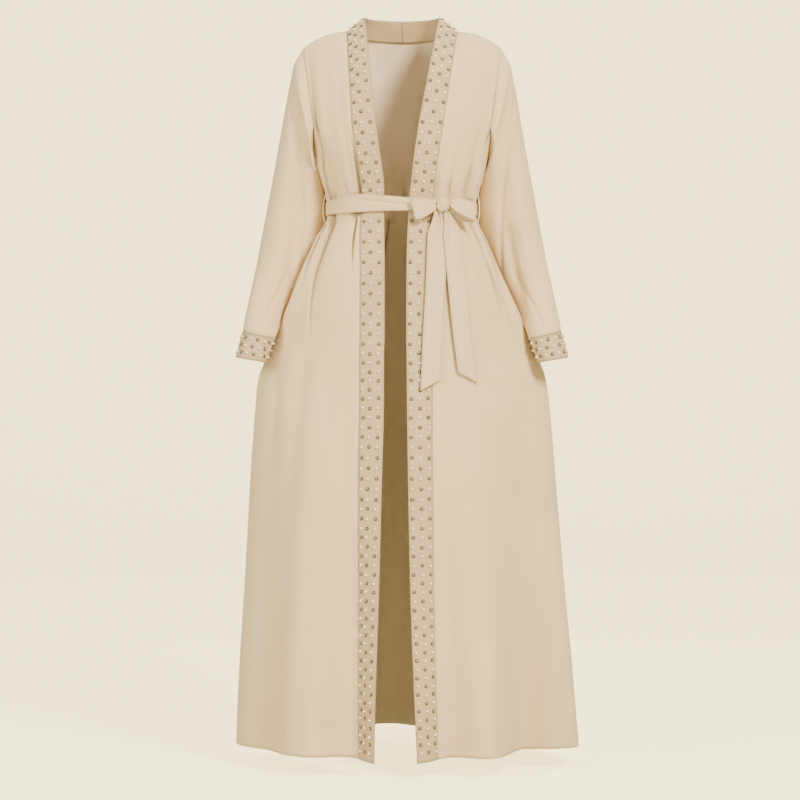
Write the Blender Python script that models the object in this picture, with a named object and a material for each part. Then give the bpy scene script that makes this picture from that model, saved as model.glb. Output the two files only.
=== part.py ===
"""An open-front abaya cloak, filled out as when it is worn, with its sash tied in a bow.

Metres, +Z up. The wearer faces -Y, and the wearer's left is +X. The origin lies midway between the
two points where the shoulder seams meet the neck band, because the shoulders carry the garment there.
Each piece that a maker would cut and sew is one closed wall of cloth with its own name.
"""

import math
from collections import namedtuple

import bmesh
import bpy
import numpy as np

# ---------------------------------------------------------------- driving sizes
CLOTH = 0.002  # wall of the crepe cloth
TRIM = 0.003  # wall of the bands and cuffs, which are doubled
LOOP_CLOTH = 0.0012  # wall of the bow's loops, thin enough to turn back on itself
SEAM = 0.0003  # gap between two pieces where they are sewn together
BAND_WIDTH = 0.050  # front band, from the open edge to its seam
HEM_Z = -1.422  # a 56 inch abaya, shoulder to hem
CHEST_Z = -0.200  # the highest level ring; above it the cloth rises to the shoulder seam
UNDERARM_Z = -0.270
BELT_Z = -0.356  # middle of the sash round the waist
BELT_HEIGHT = 0.034
SASH_CLEARANCE = 0.0011  # between the sash and the cloth it gathers
TIP_X, TIP_Z = 0.075, 0.028  # open edge of the band where it passes the shoulder seam
NECK_SEAM_X = 0.111  # band seam where it meets the shoulder seam
NAPE_Y, NAPE_Z = 0.084, -0.0113  # band seam at the centre of the back
NAPE_TOP_Y, NAPE_TOP_Z = 0.066, 0.030  # upper edge of the band at the centre of the back
SHOULDER_ROUND, NAPE_ROUND = 0.72, 0.95  # low powers round a row over sooner
CORNER_DROP = 0.009  # the front corners of the hem hang a little lower

# Columns of the grids, counted in faces.
BAND_COLUMNS = 3
FRONT_COLUMNS = 18
SHOULDER_COLUMNS = 9  # of the back, on each shoulder: half as many as a front has
NECK_COLUMNS = 8  # of the back, from a shoulder seam to the centre of the neck
BELT_COLUMNS = 56
FINE = 240  # points of the curve that a row of a grid is read from
CROWDING = 90  # how much closer the columns lie together in a fold, for each metre of its depth
ARMHOLE_CALM = 14  # degrees beside the armhole over which the folds die away
CORNER_SPREAD = 11  # degrees over which a front corner of the hem hangs lower
CORNER_RISE = 0.12  # height over which that fades out

Level = namedtuple(
    "Level", "z half_width shift front back corner front_power back_power edge_right edge_left"
)
# One row for each level ring of the body. half_width reaches from the middle, shift, to a side.
# front and back are the depths, corner is the y of the side, and a low power pinches the side
# to a point. edge_right and edge_left are the x of the open front edges.
LEVELS = [
    Level(-1.422, 0.341, 0.009, 0.222, 0.250, 0.000, 1.8, 1.9, -0.0548, 0.0297),
    Level(-1.300, 0.334, 0.007, 0.212, 0.236, 0.000, 1.8, 1.9, -0.0510, 0.0230),
    Level(-1.100, 0.3195, 0.004, 0.197, 0.214, 0.000, 1.75, 1.85, -0.0440, 0.0155),
    Level(-0.900, 0.306, 0.002, 0.181, 0.194, 0.002, 1.7, 1.75, -0.0390, 0.0115),
    Level(-0.760, 0.296, 0.001, 0.168, 0.178, 0.005, 1.55, 1.6, -0.0355, 0.0095),
    Level(-0.700, 0.290, 0.000, 0.161, 0.170, 0.008, 1.35, 1.4, -0.0350, 0.0090),
    Level(-0.655, 0.274, 0.0000, 0.156, 0.164, 0.006, 1.35, 1.35, -0.0350, 0.0085),
    Level(-0.610, 0.2518, 0.0000, 0.150, 0.157, 0.000, 1.4, 1.35, -0.0340, 0.0080),
    Level(-0.550, 0.2285, -0.0005, 0.142, 0.149, -0.014, 1.5, 1.35, -0.0340, 0.0080),
    Level(-0.480, 0.197, -0.0025, 0.131, 0.136, -0.020, 1.6, 1.45, -0.0340, 0.0085),
    Level(-0.420, 0.167, -0.002, 0.119, 0.119, -0.012, 1.9, 1.7, -0.0345, 0.0100),
    Level(-0.380, 0.149, -0.0015, 0.111, 0.102, -0.002, 2.2, 2.1, -0.0350, 0.0120),
    Level(-0.335, 0.148, -0.001, 0.112, 0.099, 0.000, 2.2, 2.2, -0.0350, 0.0150),
    Level(-0.305, 0.157, 0.000, 0.119, 0.104, 0.000, 2.2, 2.3, -0.0365, 0.0185),
    Level(-0.270, 0.169, 0.000, 0.126, 0.109, 0.000, 2.2, 2.4, -0.0415, 0.0220),
    Level(-0.235, 0.181, 0.000, 0.130, 0.112, 0.000, 2.2, 2.4, -0.0465, 0.0270),
    Level(-0.200, 0.196, 0.000, 0.130, 0.114, 0.000, 2.2, 2.4, -0.0510, 0.0320),
]

# Heights of the level rings, hem to chest, and the share of the way back down from the shoulder
# seam of each row above the chest.
RING_HEIGHTS = [
    -1.422, -1.375, -1.295, -1.195, -1.090, -0.985, -0.885, -0.800, -0.735, -0.690, -0.640,
    -0.590, -0.540, -0.490, -0.445, -0.408, -0.380, -0.357, -0.332, -0.303, -0.270, -0.235,
    -0.200,
]  # fmt: skip
YOKE_SHARES = [0.74, 0.50, 0.30, 0.15, 0.05, 0.0]

# Angle, from the middle of the front, at which the armhole cuts a ring: in front, and behind.
Armhole = namedtuple("Armhole", "z front back")
ARMHOLE = [
    Armhole(-0.270, 90, 90),
    Armhole(-0.235, 75, 105),
    Armhole(-0.200, 63, 118),
]

Shoulder = namedtuple("Shoulder", "x z")
SHOULDER = [
    Shoulder(0.111, 0.0),
    Shoulder(0.140, -0.004),
    Shoulder(0.165, -0.0125),
    Shoulder(0.187, -0.025),
    Shoulder(0.199, -0.0345),
]

Fold = namedtuple(
    "Fold",
    "top bottom angle_top angle_bottom width_top width_bottom depth_top depth_bottom "
    "fade_top fade_bottom",
)
# One row for each fold. Angles and half widths are in degrees from the middle of the front, with
# the wearer's left positive. A negative depth is a hollow. The fades are the heights over which
# a fold dies away.
FRONT_FOLDS = [
    # bodice, running down into the sash
    Fold(-0.05, -0.37, -57, -69, 7, 5, -0.005, -0.014, 0.10, 0),
    Fold(-0.10, -0.33, -74, -80, 6, 5, 0.002, 0.004, 0.08, 0.03),
    Fold(-0.15, -0.37, -37, -37, 4.5, 4, -0.002, -0.009, 0.08, 0),
    Fold(-0.06, -0.30, -46, -48, 6, 6, -0.003, -0.003, 0.10, 0.10),
    Fold(-0.05, -0.37, 57, 61, 7, 5, -0.004, -0.013, 0.10, 0),
    Fold(-0.18, -0.37, 42, 40, 5, 4, -0.001, -0.007, 0.08, 0),
    Fold(-0.17, -0.37, 31, 29.5, 4, 3.5, -0.001, -0.006, 0.08, 0),
    # skirt, spreading out of the sash
    Fold(-0.34, -0.64, -69, -52, 4.5, 8, -0.013, -0.005, 0, 0.14),
    Fold(-0.385, -0.66, -81, -68, 4, 8, 0.003, 0.006, 0.03, 0.16),
    Fold(-0.34, -0.50, -36.5, -31, 4, 6, -0.008, -0.002, 0, 0.08),
    Fold(-0.34, -0.66, 59, 50, 4, 8, -0.010, -0.004, 0, 0.14),
    Fold(-0.34, -0.68, 69, 67, 4, 6, -0.011, -0.005, 0, 0.14),
    Fold(-0.385, -0.62, 63, 59, 3, 4, 0.002, 0.005, 0.03, 0.12),
    # waves that grow towards the hem
    Fold(-0.66, -1.422, -22, -20, 9, 8, 0.0, -0.040, 0, 0),
    Fold(-0.62, -1.422, -34, -35, 10, 10, 0.0, 0.030, 0, 0),
    Fold(-0.74, -1.422, -62, -58, 12, 12, 0.0, -0.016, 0, 0),
    Fold(-0.80, -1.422, -9, -9.5, 5, 5, 0.0, 0.014, 0, 0),
    Fold(-0.70, -1.422, 15, 14.5, 7, 7, 0.0, -0.038, 0, 0),
    Fold(-0.64, -1.422, 27, 26, 9, 9, 0.0, 0.026, 0, 0),
    Fold(-0.66, -1.422, 53, 48, 12, 12, 0.0, -0.046, 0, 0),
    Fold(-0.74, -1.422, 74, 72, 9, 9, 0.0, 0.014, 0, 0),
]
BACK_FOLDS = [
    # bodice, gathered down into the sash
    Fold(-0.14, -0.37, 118, 113, 6, 5, -0.003, -0.010, 0.10, 0),
    Fold(-0.17, -0.37, 136, 133, 6, 5, -0.002, -0.011, 0.10, 0),
    Fold(-0.19, -0.37, 154, 153, 5, 5, -0.002, -0.009, 0.10, 0),
    Fold(-0.12, -0.37, 173, 172, 6, 5, -0.003, -0.011, 0.10, 0),
    Fold(-0.18, -0.37, 190, 191, 5, 5, -0.002, -0.009, 0.10, 0),
    Fold(-0.16, -0.37, 209, 211, 6, 5, -0.003, -0.011, 0.10, 0),
    Fold(-0.20, -0.37, 226, 230, 6, 5, -0.002, -0.009, 0.10, 0),
    Fold(-0.15, -0.37, 243, 247, 6, 5, -0.003, -0.010, 0.10, 0),
    # skirt, spreading out of the sash down to the hem
    Fold(-0.34, -1.422, 114, 113, 5, 9, -0.010, -0.030, 0, 0),
    Fold(-0.42, -1.422, 126, 128, 6, 8, 0.001, 0.020, 0, 0),
    Fold(-0.34, -1.422, 138, 143, 5, 9, -0.011, -0.036, 0, 0),
    Fold(-0.42, -1.422, 151, 158, 6, 8, 0.001, 0.024, 0, 0),
    Fold(-0.34, -1.422, 164, 172, 5, 8, -0.010, -0.032, 0, 0),
    Fold(-0.42, -1.422, 178, 187, 6, 8, 0.001, 0.022, 0, 0),
    Fold(-0.34, -1.422, 192, 202, 5, 9, -0.011, -0.038, 0, 0),
    Fold(-0.42, -1.422, 206, 217, 6, 8, 0.001, 0.024, 0, 0),
    Fold(-0.34, -1.422, 221, 231, 5, 9, -0.011, -0.032, 0, 0),
    Fold(-0.42, -1.422, 234, 243, 6, 7, 0.001, 0.016, 0, 0),
    Fold(-0.34, -1.422, 247, 255, 5, 8, -0.010, -0.026, 0, 0),
]

Ring = namedtuple("Ring", "outer_x outer_y outer_z inner_x inner_y inner_z half_depth")
# Rings of the wearer's left sleeve after the armhole, shoulder to cuff seam. The right one is its
# mirror image.
SLEEVE = [
    Ring(0.2155, 0.006, -0.062, 0.1715, 0.010, -0.298, 0.072),
    Ring(0.2240, 0.010, -0.100, 0.1560, 0.048, -0.322, 0.075),
    Ring(0.2335, 0.015, -0.150, 0.1450, 0.060, -0.350, 0.074),
    Ring(0.2450, 0.022, -0.212, 0.1440, 0.060, -0.381, 0.069),
    Ring(0.2585, 0.030, -0.285, 0.1580, 0.052, -0.417, 0.063),
    Ring(0.2740, 0.034, -0.367, 0.1815, 0.040, -0.459, 0.057),
    Ring(0.2895, 0.028, -0.450, 0.2060, 0.028, -0.507, 0.051),
    Ring(0.3045, 0.002, -0.528, 0.2345, 0.008, -0.563, 0.045),
    Ring(0.3165, -0.036, -0.601, 0.2524, -0.036, -0.616, 0.038),
]
CUFF_END = Ring(0.3295, -0.048, -0.6535, 0.2690, -0.048, -0.6645, 0.0365)

Groove = namedtuple(
    "Groove", "start end angle_start angle_end width_start width_end depth_start depth_end"
)
# Long folds of the left sleeve. start and end are ring numbers and the angle runs from the inner
# arm, 180, by way of the front, 270, to the outer arm, 360, and the back, 450.
SLEEVE_FOLDS = [
    Groove(0.6, 8.4, 322, 222, 16, 17, -0.003, -0.013),
    Groove(1.5, 8.0, 345, 262, 20, 20, 0.001, 0.004),
    Groove(1.0, 6.5, 400, 452, 18, 20, -0.004, -0.009),
    Groove(3.0, 7.5, 500, 492, 16, 18, -0.005, -0.006),
]

KNOT = (0.0797, -0.1135, -0.3570)  # middle of the knot
KNOT_HALF = (0.0125, 0.0105, 0.0140)
KNOT_POWER = 2.6  # 2 is an ellipsoid, and more is squarer
LOOP_POWER = 0.7  # 1 is an ellipse, and less is blunter at both ends

Loop = namedtuple("Loop", "name side reach bulge half_start half_end droop lean tilt backward")
# Each loop of the bow: how far it reaches from the knot, its half depth, its half height at the
# knot and at its end, how far its end hangs, how far the foot of its end lies beyond the head,
# how much lower its back layer hangs, and how far its end lies back.
LOOPS = [
    Loop("bow_loop_right", -1, 0.0515, 0.0066, 0.0115, 0.0200, 0.008, -0.011, 0.003, -0.0115),
    Loop("bow_loop_left", 1, 0.0475, 0.0079, 0.0100, 0.0195, 0.008, 0.006, 0.010, 0.0200),
]

Tail = namedtuple("Tail", "name half_width top_half_width path end_right end_left lift")
# Each hanging end of the sash: (z, x) of its middle line under the knot, the heights of its
# slanted end at its two corners, and its gap to the skirt.
TAILS = [
    Tail(
        "sash_tail_right", 0.0195, 0.0085,
        [(-0.3745, 0.0705), (-0.420, 0.0690), (-0.510, 0.0655), (-0.600, 0.0605), (-0.720, 0.0550)],
        -0.7205, -0.6985, 0.0050,
    ),
    Tail(
        "sash_tail_left", 0.0185, 0.0080,
        [(-0.3745, 0.0885), (-0.405, 0.0980), (-0.460, 0.1030), (-0.600, 0.1165), (-0.706, 0.1300)],
        -0.6835, -0.7050, 0.0085,
    ),
]  # fmt: skip

THREAD = 0.0024  # diameter of the thread carriers that hold the sash at the side seams

SAND = (0.71, 0.57, 0.44)
SAND_TRIM = (0.69, 0.55, 0.42)
THREAD_COLOUR = (0.66, 0.52, 0.40)


# ---------------------------------------------------------------- curves
def smooth(x, xs, ys):
    """A curve through the points with no overshoot between them, read at x. xs must rise."""
    xs, ys = np.asarray(xs, float), np.asarray(ys, float)
    gaps = np.diff(xs)
    slopes = np.diff(ys) / gaps
    tangents = np.concatenate([slopes[:1], np.zeros(len(xs) - 2), slopes[-1:]])
    for i in range(1, len(xs) - 1):
        if slopes[i - 1] * slopes[i] > 0:
            tangents[i] = 2 * slopes[i - 1] * slopes[i] / (slopes[i - 1] + slopes[i])
    i = np.clip(np.searchsorted(xs, x) - 1, 0, len(gaps) - 1)
    t = np.clip((x - xs[i]) / gaps[i], 0, 1)
    near = (1 + 2 * t) * (1 - t) ** 2 * ys[i] + t * (1 - t) ** 2 * gaps[i] * tangents[i]
    far = t * t * (3 - 2 * t) * ys[i + 1] - t * t * (1 - t) * gaps[i] * tangents[i + 1]
    return near + far


def level(z):
    """The row of LEVELS for any height between the hem and the chest."""
    heights = [row.z for row in LEVELS]
    values = (smooth(z, heights, column) for column in list(zip(*LEVELS, strict=True))[1:])
    return Level(z, *values)


def eased(t):
    t = np.clip(t, 0, 1)
    return t * t * (3 - 2 * t)


def fold_depth(folds, z, degrees):
    """How far the folds move the cloth out at this height, for an array of angles."""
    total = np.zeros_like(degrees)
    for fold in folds:
        if not fold.bottom - 1e-9 <= z <= fold.top:
            continue
        down = (fold.top - z) / (fold.top - fold.bottom)
        depth = fold.depth_top + (fold.depth_bottom - fold.depth_top) * down
        if fold.fade_top:
            depth *= eased((fold.top - z) / fold.fade_top)
        if fold.fade_bottom:
            depth *= eased((z - fold.bottom) / fold.fade_bottom)
        angle = fold.angle_top + (fold.angle_bottom - fold.angle_top) * down
        width = fold.width_top + (fold.width_bottom - fold.width_top) * down
        total += depth * np.exp(-(((degrees - angle) / width) ** 2))
    return total


def ring(z, degrees, folds=()):
    """Points of the body's outer surface at height z, at an array of angles from the front."""
    row = level(z)
    turn = np.radians(degrees)
    x = row.shift + row.half_width * np.sin(turn)
    ahead = np.cos(turn) > 0
    depth = np.where(ahead, -(row.front + row.corner), row.back - row.corner)
    power = np.where(ahead, row.front_power, row.back_power)
    y = row.corner + depth * np.abs(np.cos(turn)) ** (2 / power)
    along_x, along_y = np.gradient(x), np.gradient(y)
    size = np.hypot(along_x, along_y) * np.sign(degrees[-1] - degrees[0])
    out = fold_depth(folds, z, degrees)
    if z > UNDERARM_Z - 1e-6:  # the armhole's edge is the same on both sides, so it has no fold
        if ahead.all():
            reach = armhole_angle(z, "front") - np.abs(degrees)
        else:
            reach = 180 - np.abs(degrees - 180) - armhole_angle(z, "back")
        out = out * eased(np.abs(reach) / ARMHOLE_CALM)
    return np.stack([x + out * along_y / size, y - out * along_x / size, np.full_like(x, z)], axis=1)


def armhole_angle(z, branch):
    """The angle at which the armhole cuts a ring, or 90, the side seam, below the armhole."""
    if z <= UNDERARM_Z:
        return 90.0
    heights = [row.z for row in ARMHOLE]
    return float(smooth(z, heights, [getattr(row, branch) for row in ARMHOLE]))


def lengths(points):
    """The distance along a row of points, from its first point to each."""
    return np.concatenate([[0], np.cumsum(np.linalg.norm(np.diff(points, axis=0), axis=1))])


def read(points, along, at):
    """Points of a curve at these distances along it."""
    return np.stack([np.interp(at, along, points[:, k]) for k in range(3)], axis=1)


def crowded(points, along, start, stop, count, relief):
    """count + 1 distances from start to stop that lie closer together where the cloth is folded."""
    at = np.linspace(start, stop, FINE)
    weight = 1 + CROWDING * np.abs(np.interp(at, along, relief))
    share = np.concatenate([[0], np.cumsum((weight[1:] + weight[:-1]) / 2)])
    return np.interp(np.linspace(0, share[-1], count + 1), share, at)


# ---------------------------------------------------------------- the body's grids
def front_row(z, side):
    """One row of a front, open edge to side: the points of its band and those of its panel."""
    row = level(z)
    edge = row.edge_left if side > 0 else -row.edge_right
    first = math.degrees(math.asin((edge - side * row.shift) / row.half_width))
    last = armhole_angle(z, "front")
    degrees = side * np.linspace(first, last, FINE)
    points = ring(z, degrees, FRONT_FOLDS)
    near_hem = eased((HEM_Z + CORNER_RISE - z) / CORNER_RISE)
    spread = (np.abs(degrees) - abs(first)) / CORNER_SPREAD
    points[:, 2] -= CORNER_DROP * near_hem * np.exp(-(spread**2))
    along = lengths(points)
    relief = fold_depth(FRONT_FOLDS, z, degrees)
    band = read(points, along, np.linspace(0, BAND_WIDTH, BAND_COLUMNS + 1))
    panel = read(points, along, crowded(points, along, BAND_WIDTH, along[-1], FRONT_COLUMNS, relief))
    return band, panel


def back_row(z):
    """One row of the back, from the wearer's left to the right, with the centre always a column."""
    first = armhole_angle(z, "back")
    halves = []
    for degrees in (np.linspace(first, 180, FINE), np.linspace(180, 360 - first, FINE)):
        points = ring(z, degrees, BACK_FOLDS)
        along = lengths(points)
        relief = fold_depth(BACK_FOLDS, z, degrees)
        count = SHOULDER_COLUMNS + NECK_COLUMNS
        halves.append(read(points, along, crowded(points, along, 0, along[-1], count, relief)))
    return np.concatenate([halves[0], halves[1][1:]])


def shoulder_points(count):
    """Points of the left shoulder seam, neck to armhole."""
    x = np.linspace(NECK_SEAM_X, SHOULDER[-1].x, count + 1)
    z = smooth(x, [row.x for row in SHOULDER], [row.z for row in SHOULDER])
    return np.stack([x, np.zeros_like(x), z], axis=1)


def neck_points():
    """Points of the band's seam round the back of the neck, left shoulder seam to the centre."""
    turn = np.linspace(0, math.pi / 2, NECK_COLUMNS + 1)
    return np.stack([NECK_SEAM_X * np.cos(turn), NAPE_Y * np.sin(turn), NAPE_Z * np.sin(turn)], axis=1)


def mirrored(points):
    """The same points on the other side of the body, in the opposite order along each row."""
    return (points * [-1, 1, 1])[..., ::-1, :]


def yoke(chest, top, slope):
    """Rows that rise from the chest's row, upright there, and round over the shoulder to its seam."""
    rows = []
    for share in YOKE_SHARES:
        point = top + (chest - top) * share
        point[:, 1] = top[:, 1] + (chest[:, 1] - top[:, 1]) * (1 - (1 - share) ** 2) ** slope
        rows.append(point)
    return rows


def body_grids():
    """Grids of both bands, both fronts and the back, rows from the hem up and columns
    anticlockwise seen from above."""
    grids = {}
    for side, name in ((1, "left"), (-1, "right")):
        pairs = [front_row(z, side) for z in RING_HEIGHTS]
        band, panel = (np.array([pair[i] for pair in pairs]) for i in (0, 1))
        tip = np.array([TIP_X, 0, TIP_Z])
        across = np.linspace(0, 1, BAND_COLUMNS + 1)[:, None]
        band_top = tip + (np.array([NECK_SEAM_X, 0, 0]) - tip) * across
        seam = shoulder_points(FRONT_COLUMNS)
        seam[1::2] = (seam[:-1:2] + seam[2::2]) / 2  # so that it lies on the back's longer faces
        flip = np.array([side, 1, 1])
        band = np.concatenate([band, yoke(band[-1], band_top * flip, SHOULDER_ROUND)])
        panel = np.concatenate([panel, yoke(panel[-1], seam * flip, SHOULDER_ROUND)])
        if side > 0:
            grids["front_" + name], grids["band_" + name] = panel, band
        else:
            grids["front_" + name], grids["band_" + name] = panel[:, ::-1], band[:, ::-1]
    shoulder = shoulder_points(SHOULDER_COLUMNS)[::-1]
    half = np.concatenate([shoulder, neck_points()[1:]])
    top = np.concatenate([half, mirrored(half)[1:]])
    rows = np.array([back_row(z) for z in RING_HEIGHTS])
    slope = np.interp(np.abs(top[:, 0]), [0, NECK_SEAM_X, 0.13], [NAPE_ROUND, 0.8, SHOULDER_ROUND])
    grids["back"] = np.concatenate([rows, yoke(rows[-1], top, slope)])
    return grids


def neck_band(front_part, side):
    """The band's grid with its stretch round the back of the neck added at the top."""
    turn = np.linspace(0, math.pi / 2, NECK_COLUMNS + 1)
    seam = neck_points()
    top = np.stack(
        [TIP_X * np.cos(turn), NAPE_TOP_Y * np.sin(turn), TIP_Z + (NAPE_TOP_Z - TIP_Z) * np.sin(turn)],
        axis=1,
    )
    across = np.linspace(0, 1, BAND_COLUMNS + 1)[None, :, None]
    strip = top[1:, None] + (seam[1:, None] - top[1:, None]) * across
    return np.concatenate([front_part, strip if side > 0 else mirrored(strip)])


# ---------------------------------------------------------------- sleeves
def armhole_loop(front, back):
    """The left armhole's edge, from the underarm up the front and down the back, with a point
    midway along each side, and the angle of each point round the sleeve."""
    first = RING_HEIGHTS.index(UNDERARM_Z)
    up, down = front[first:, -1], back[first:, 0][::-1]
    corners = np.concatenate([up, down[1:]])
    points = np.repeat(corners[:-1], 2, axis=0)
    points[1::2] = (corners[:-1] + corners[1:]) / 2
    halves = []
    for branch, start in ((up, 180), (down, 360)):
        along = lengths(branch)
        middle = (along[1:] + along[:-1]) / 2
        at = np.stack([along[:-1], middle], axis=1).ravel() / along[-1]
        halves.append(start + 180 * at)
    return points, np.concatenate(halves)


def groove_depth(number, degrees):
    total = np.zeros_like(degrees)
    for groove in SLEEVE_FOLDS:
        share = (number - groove.start) / (groove.end - groove.start)
        if not 0 <= share <= 1:
            continue
        depth = groove.depth_start + (groove.depth_end - groove.depth_start) * share
        depth *= eased(share * 5) * eased((1 - share) * 5)
        angle = groove.angle_start + (groove.angle_end - groove.angle_start) * share
        width = groove.width_start + (groove.width_end - groove.width_start) * share
        total += depth * np.exp(-(((degrees - angle) / width) ** 2))
    return total


def oval(ring_row, degrees, number=None):
    """Points round one ring of the left sleeve."""
    outer = np.array([ring_row.outer_x, ring_row.outer_y, ring_row.outer_z])
    inner = np.array([ring_row.inner_x, ring_row.inner_y, ring_row.inner_z])
    turn = np.radians(degrees)[:, None]
    depth = np.array([0, ring_row.half_depth, 0])
    spoke = np.cos(turn) * (outer - inner) / 2 + np.sin(turn) * depth
    if number is not None:
        radius = np.linalg.norm(spoke, axis=1, keepdims=True)
        spoke = spoke * (1 + groove_depth(number, degrees)[:, None] / radius)
    return (outer + inner) / 2 + spoke


def sleeve_grid(front, back):
    """Rows from the cuff's seam up to the armhole, columns anticlockwise from the inner arm."""
    hole, degrees = armhole_loop(front, back)
    start = Ring(hole[16, 0], 0.004, hole[16, 2], hole[0, 0], 0.004, hole[0, 2], 0.062)
    left_over = hole - oval(start, degrees)
    for _ in range(3):
        left_over = (np.roll(left_over, 1, axis=0) + 2 * left_over + np.roll(left_over, -1, axis=0)) / 4
    rings = [hole]
    for number, row in enumerate(SLEEVE, 1):
        rings.append(oval(row, degrees, number) + left_over * max(0.0, 1 - number / 3.2) ** 1.5)
    return np.array(rings[::-1]), degrees


# ---------------------------------------------------------------- walls
def normals_of(grid, closed=False):
    """Outward unit vectors at the points of a grid."""
    if closed:
        wide = np.concatenate([grid[:, -1:], grid, grid[:, :1]], axis=1)
        along = np.gradient(wide, axis=1)[:, 1:-1]
    else:
        along = np.gradient(grid, axis=1)
    normals = np.cross(along, np.gradient(grid, axis=0))
    return normals / np.linalg.norm(normals, axis=-1, keepdims=True)


def shared(*sets):
    """The mean direction of matching normals, for the pieces that meet at one seam."""
    total = sum(sets)
    return total / np.linalg.norm(total, axis=-1, keepdims=True)


def seam_side(edge, along, normals, inside):
    """Unit vectors from a seam's edge back into its piece, square to the rim of the wall."""
    side = np.cross(along, normals)
    side /= np.linalg.norm(side, axis=-1, keepdims=True)
    return side * np.sign(np.sum(side * (inside - edge), axis=-1, keepdims=True))


def parted_grid(grid, normals, columns=(), rows=()):
    """A grid with the named edge columns and rows moved half a seam back from their neighbours.
    Where an armhole's edge meets a side seam, the point moves back from both."""
    made = grid.copy()
    underarm = RING_HEIGHTS.index(UNDERARM_Z)
    for column, inside in columns:
        edge = grid[:, column]
        side = seam_side(edge, np.gradient(edge, axis=0), normals[:, column], grid[:, inside])
        side[underarm] = side[underarm - 1] + side[underarm + 1]
        made[:, column] += side * SEAM / 2
    for row, inside in rows:
        edge = grid[row]
        made[row] += seam_side(edge, np.gradient(edge, axis=0), normals[row], grid[inside]) * SEAM / 2
    return made


def parted_loop(grid, normals, row, inside):
    """The same for the end row of a tube."""
    made, edge = grid.copy(), grid[row]
    along = np.roll(edge, -1, axis=0) - np.roll(edge, 1, axis=0)
    made[row] += seam_side(edge, along, normals[row], grid[inside]) * SEAM / 2
    return made


def add_sheet(mesh, grid):
    """A grid of quads at these points, and its vertices in rows."""
    rows, columns = grid.shape[:2]
    made = bmesh.ops.create_grid(mesh, x_segments=columns - 1, y_segments=rows - 1, size=1)["verts"]
    for vertex, point in zip(made, grid.reshape(-1, 3), strict=True):
        vertex.co = point
    return [made[row * columns : (row + 1) * columns] for row in range(rows)]


def rim(mesh, outer, inner):
    """Quads that join the edge of the outer sheet to the same edge of the inner one."""
    for i in range(len(outer) - 1):
        mesh.faces.new((outer[i], inner[i], inner[i + 1], outer[i + 1]))


def new_object(name, mesh, material):
    bmesh.ops.recalc_face_normals(mesh, faces=mesh.faces)
    data = bpy.data.meshes.new(name)
    mesh.to_mesh(data)
    mesh.free()
    data.materials.append(material)
    data.shade_smooth()
    data.set_sharp_from_angle(angle=math.radians(50))
    made = bpy.data.objects.new(name, data)
    bpy.context.scene.collection.objects.link(made)
    return made


def wall(name, grid, normals, thickness, material, closed=False):
    """A closed wall of cloth whose outer face has these points."""
    if closed:
        grid = np.concatenate([grid, grid[:, :1]], axis=1)
        normals = np.concatenate([normals, normals[:, :1]], axis=1)
    mesh = bmesh.new()
    outer = add_sheet(mesh, grid)
    inner = add_sheet(mesh, grid - normals * thickness)
    rim(mesh, outer[0], inner[0])
    rim(mesh, outer[-1], inner[-1])
    if not closed:
        rim(mesh, [row[0] for row in outer], [row[0] for row in inner])
        rim(mesh, [row[-1] for row in outer], [row[-1] for row in inner])
    bmesh.ops.remove_doubles(mesh, verts=mesh.verts, dist=1e-6)
    return new_object(name, mesh, material)


def material(name, colour, roughness):
    made = bpy.data.materials.new(name)
    made.use_nodes = True
    shader = made.node_tree.nodes["Principled BSDF"]
    shader.inputs["Base Color"].default_value = (*colour, 1)
    shader.inputs["Roughness"].default_value = roughness
    shader.inputs["Metallic"].default_value = 0
    return made


# ---------------------------------------------------------------- the garment
def share(*edges):
    """Gives the matching points of these edges, each (normals, index), one direction."""
    mean = shared(*(normals[index] for normals, index in edges))
    for normals, index in edges:
        normals[index] = mean


def body_normals(grids, rows, under):
    """Outward vectors of the body's pieces, the same for both pieces along each seam."""
    normals = {name: normals_of(grid) for name, grid in grids.items()}
    back, half = normals["back"], SHOULDER_COLUMNS
    for name, edge, seam, order in (("left", -1, 0, 1), ("right", 0, -1, -1)):
        front, band = normals["front_" + name], normals["band_" + name]
        side = np.s_[:under, edge]
        other = np.s_[:under, seam]
        share((front, side), (back, other))
        share((front, np.s_[:, seam]), (band, np.s_[:rows, edge]))
        shoulder = np.s_[-1, :half] if order > 0 else np.s_[-1, -half:]
        share((front, np.s_[-1, :0:-2] if order > 0 else np.s_[-1, -3::-2]), (back, shoulder))
        if order > 0:
            neck = np.s_[-1, half + 1 : half + NECK_COLUMNS + 1]
        else:
            neck = np.s_[-1, -half - 2 : -half - NECK_COLUMNS - 2 : -1]
        share((back, neck), (band, np.s_[rows:, edge]))
        corner = np.s_[-1, half] if order > 0 else np.s_[-1, -half - 1]
        share((back, corner), (front, np.s_[-1, seam]), (band, np.s_[rows - 1, edge]))
    share((normals["band_left"], np.s_[-1, :]), (normals["band_right"], np.s_[-1, ::-1]))
    return normals


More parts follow.
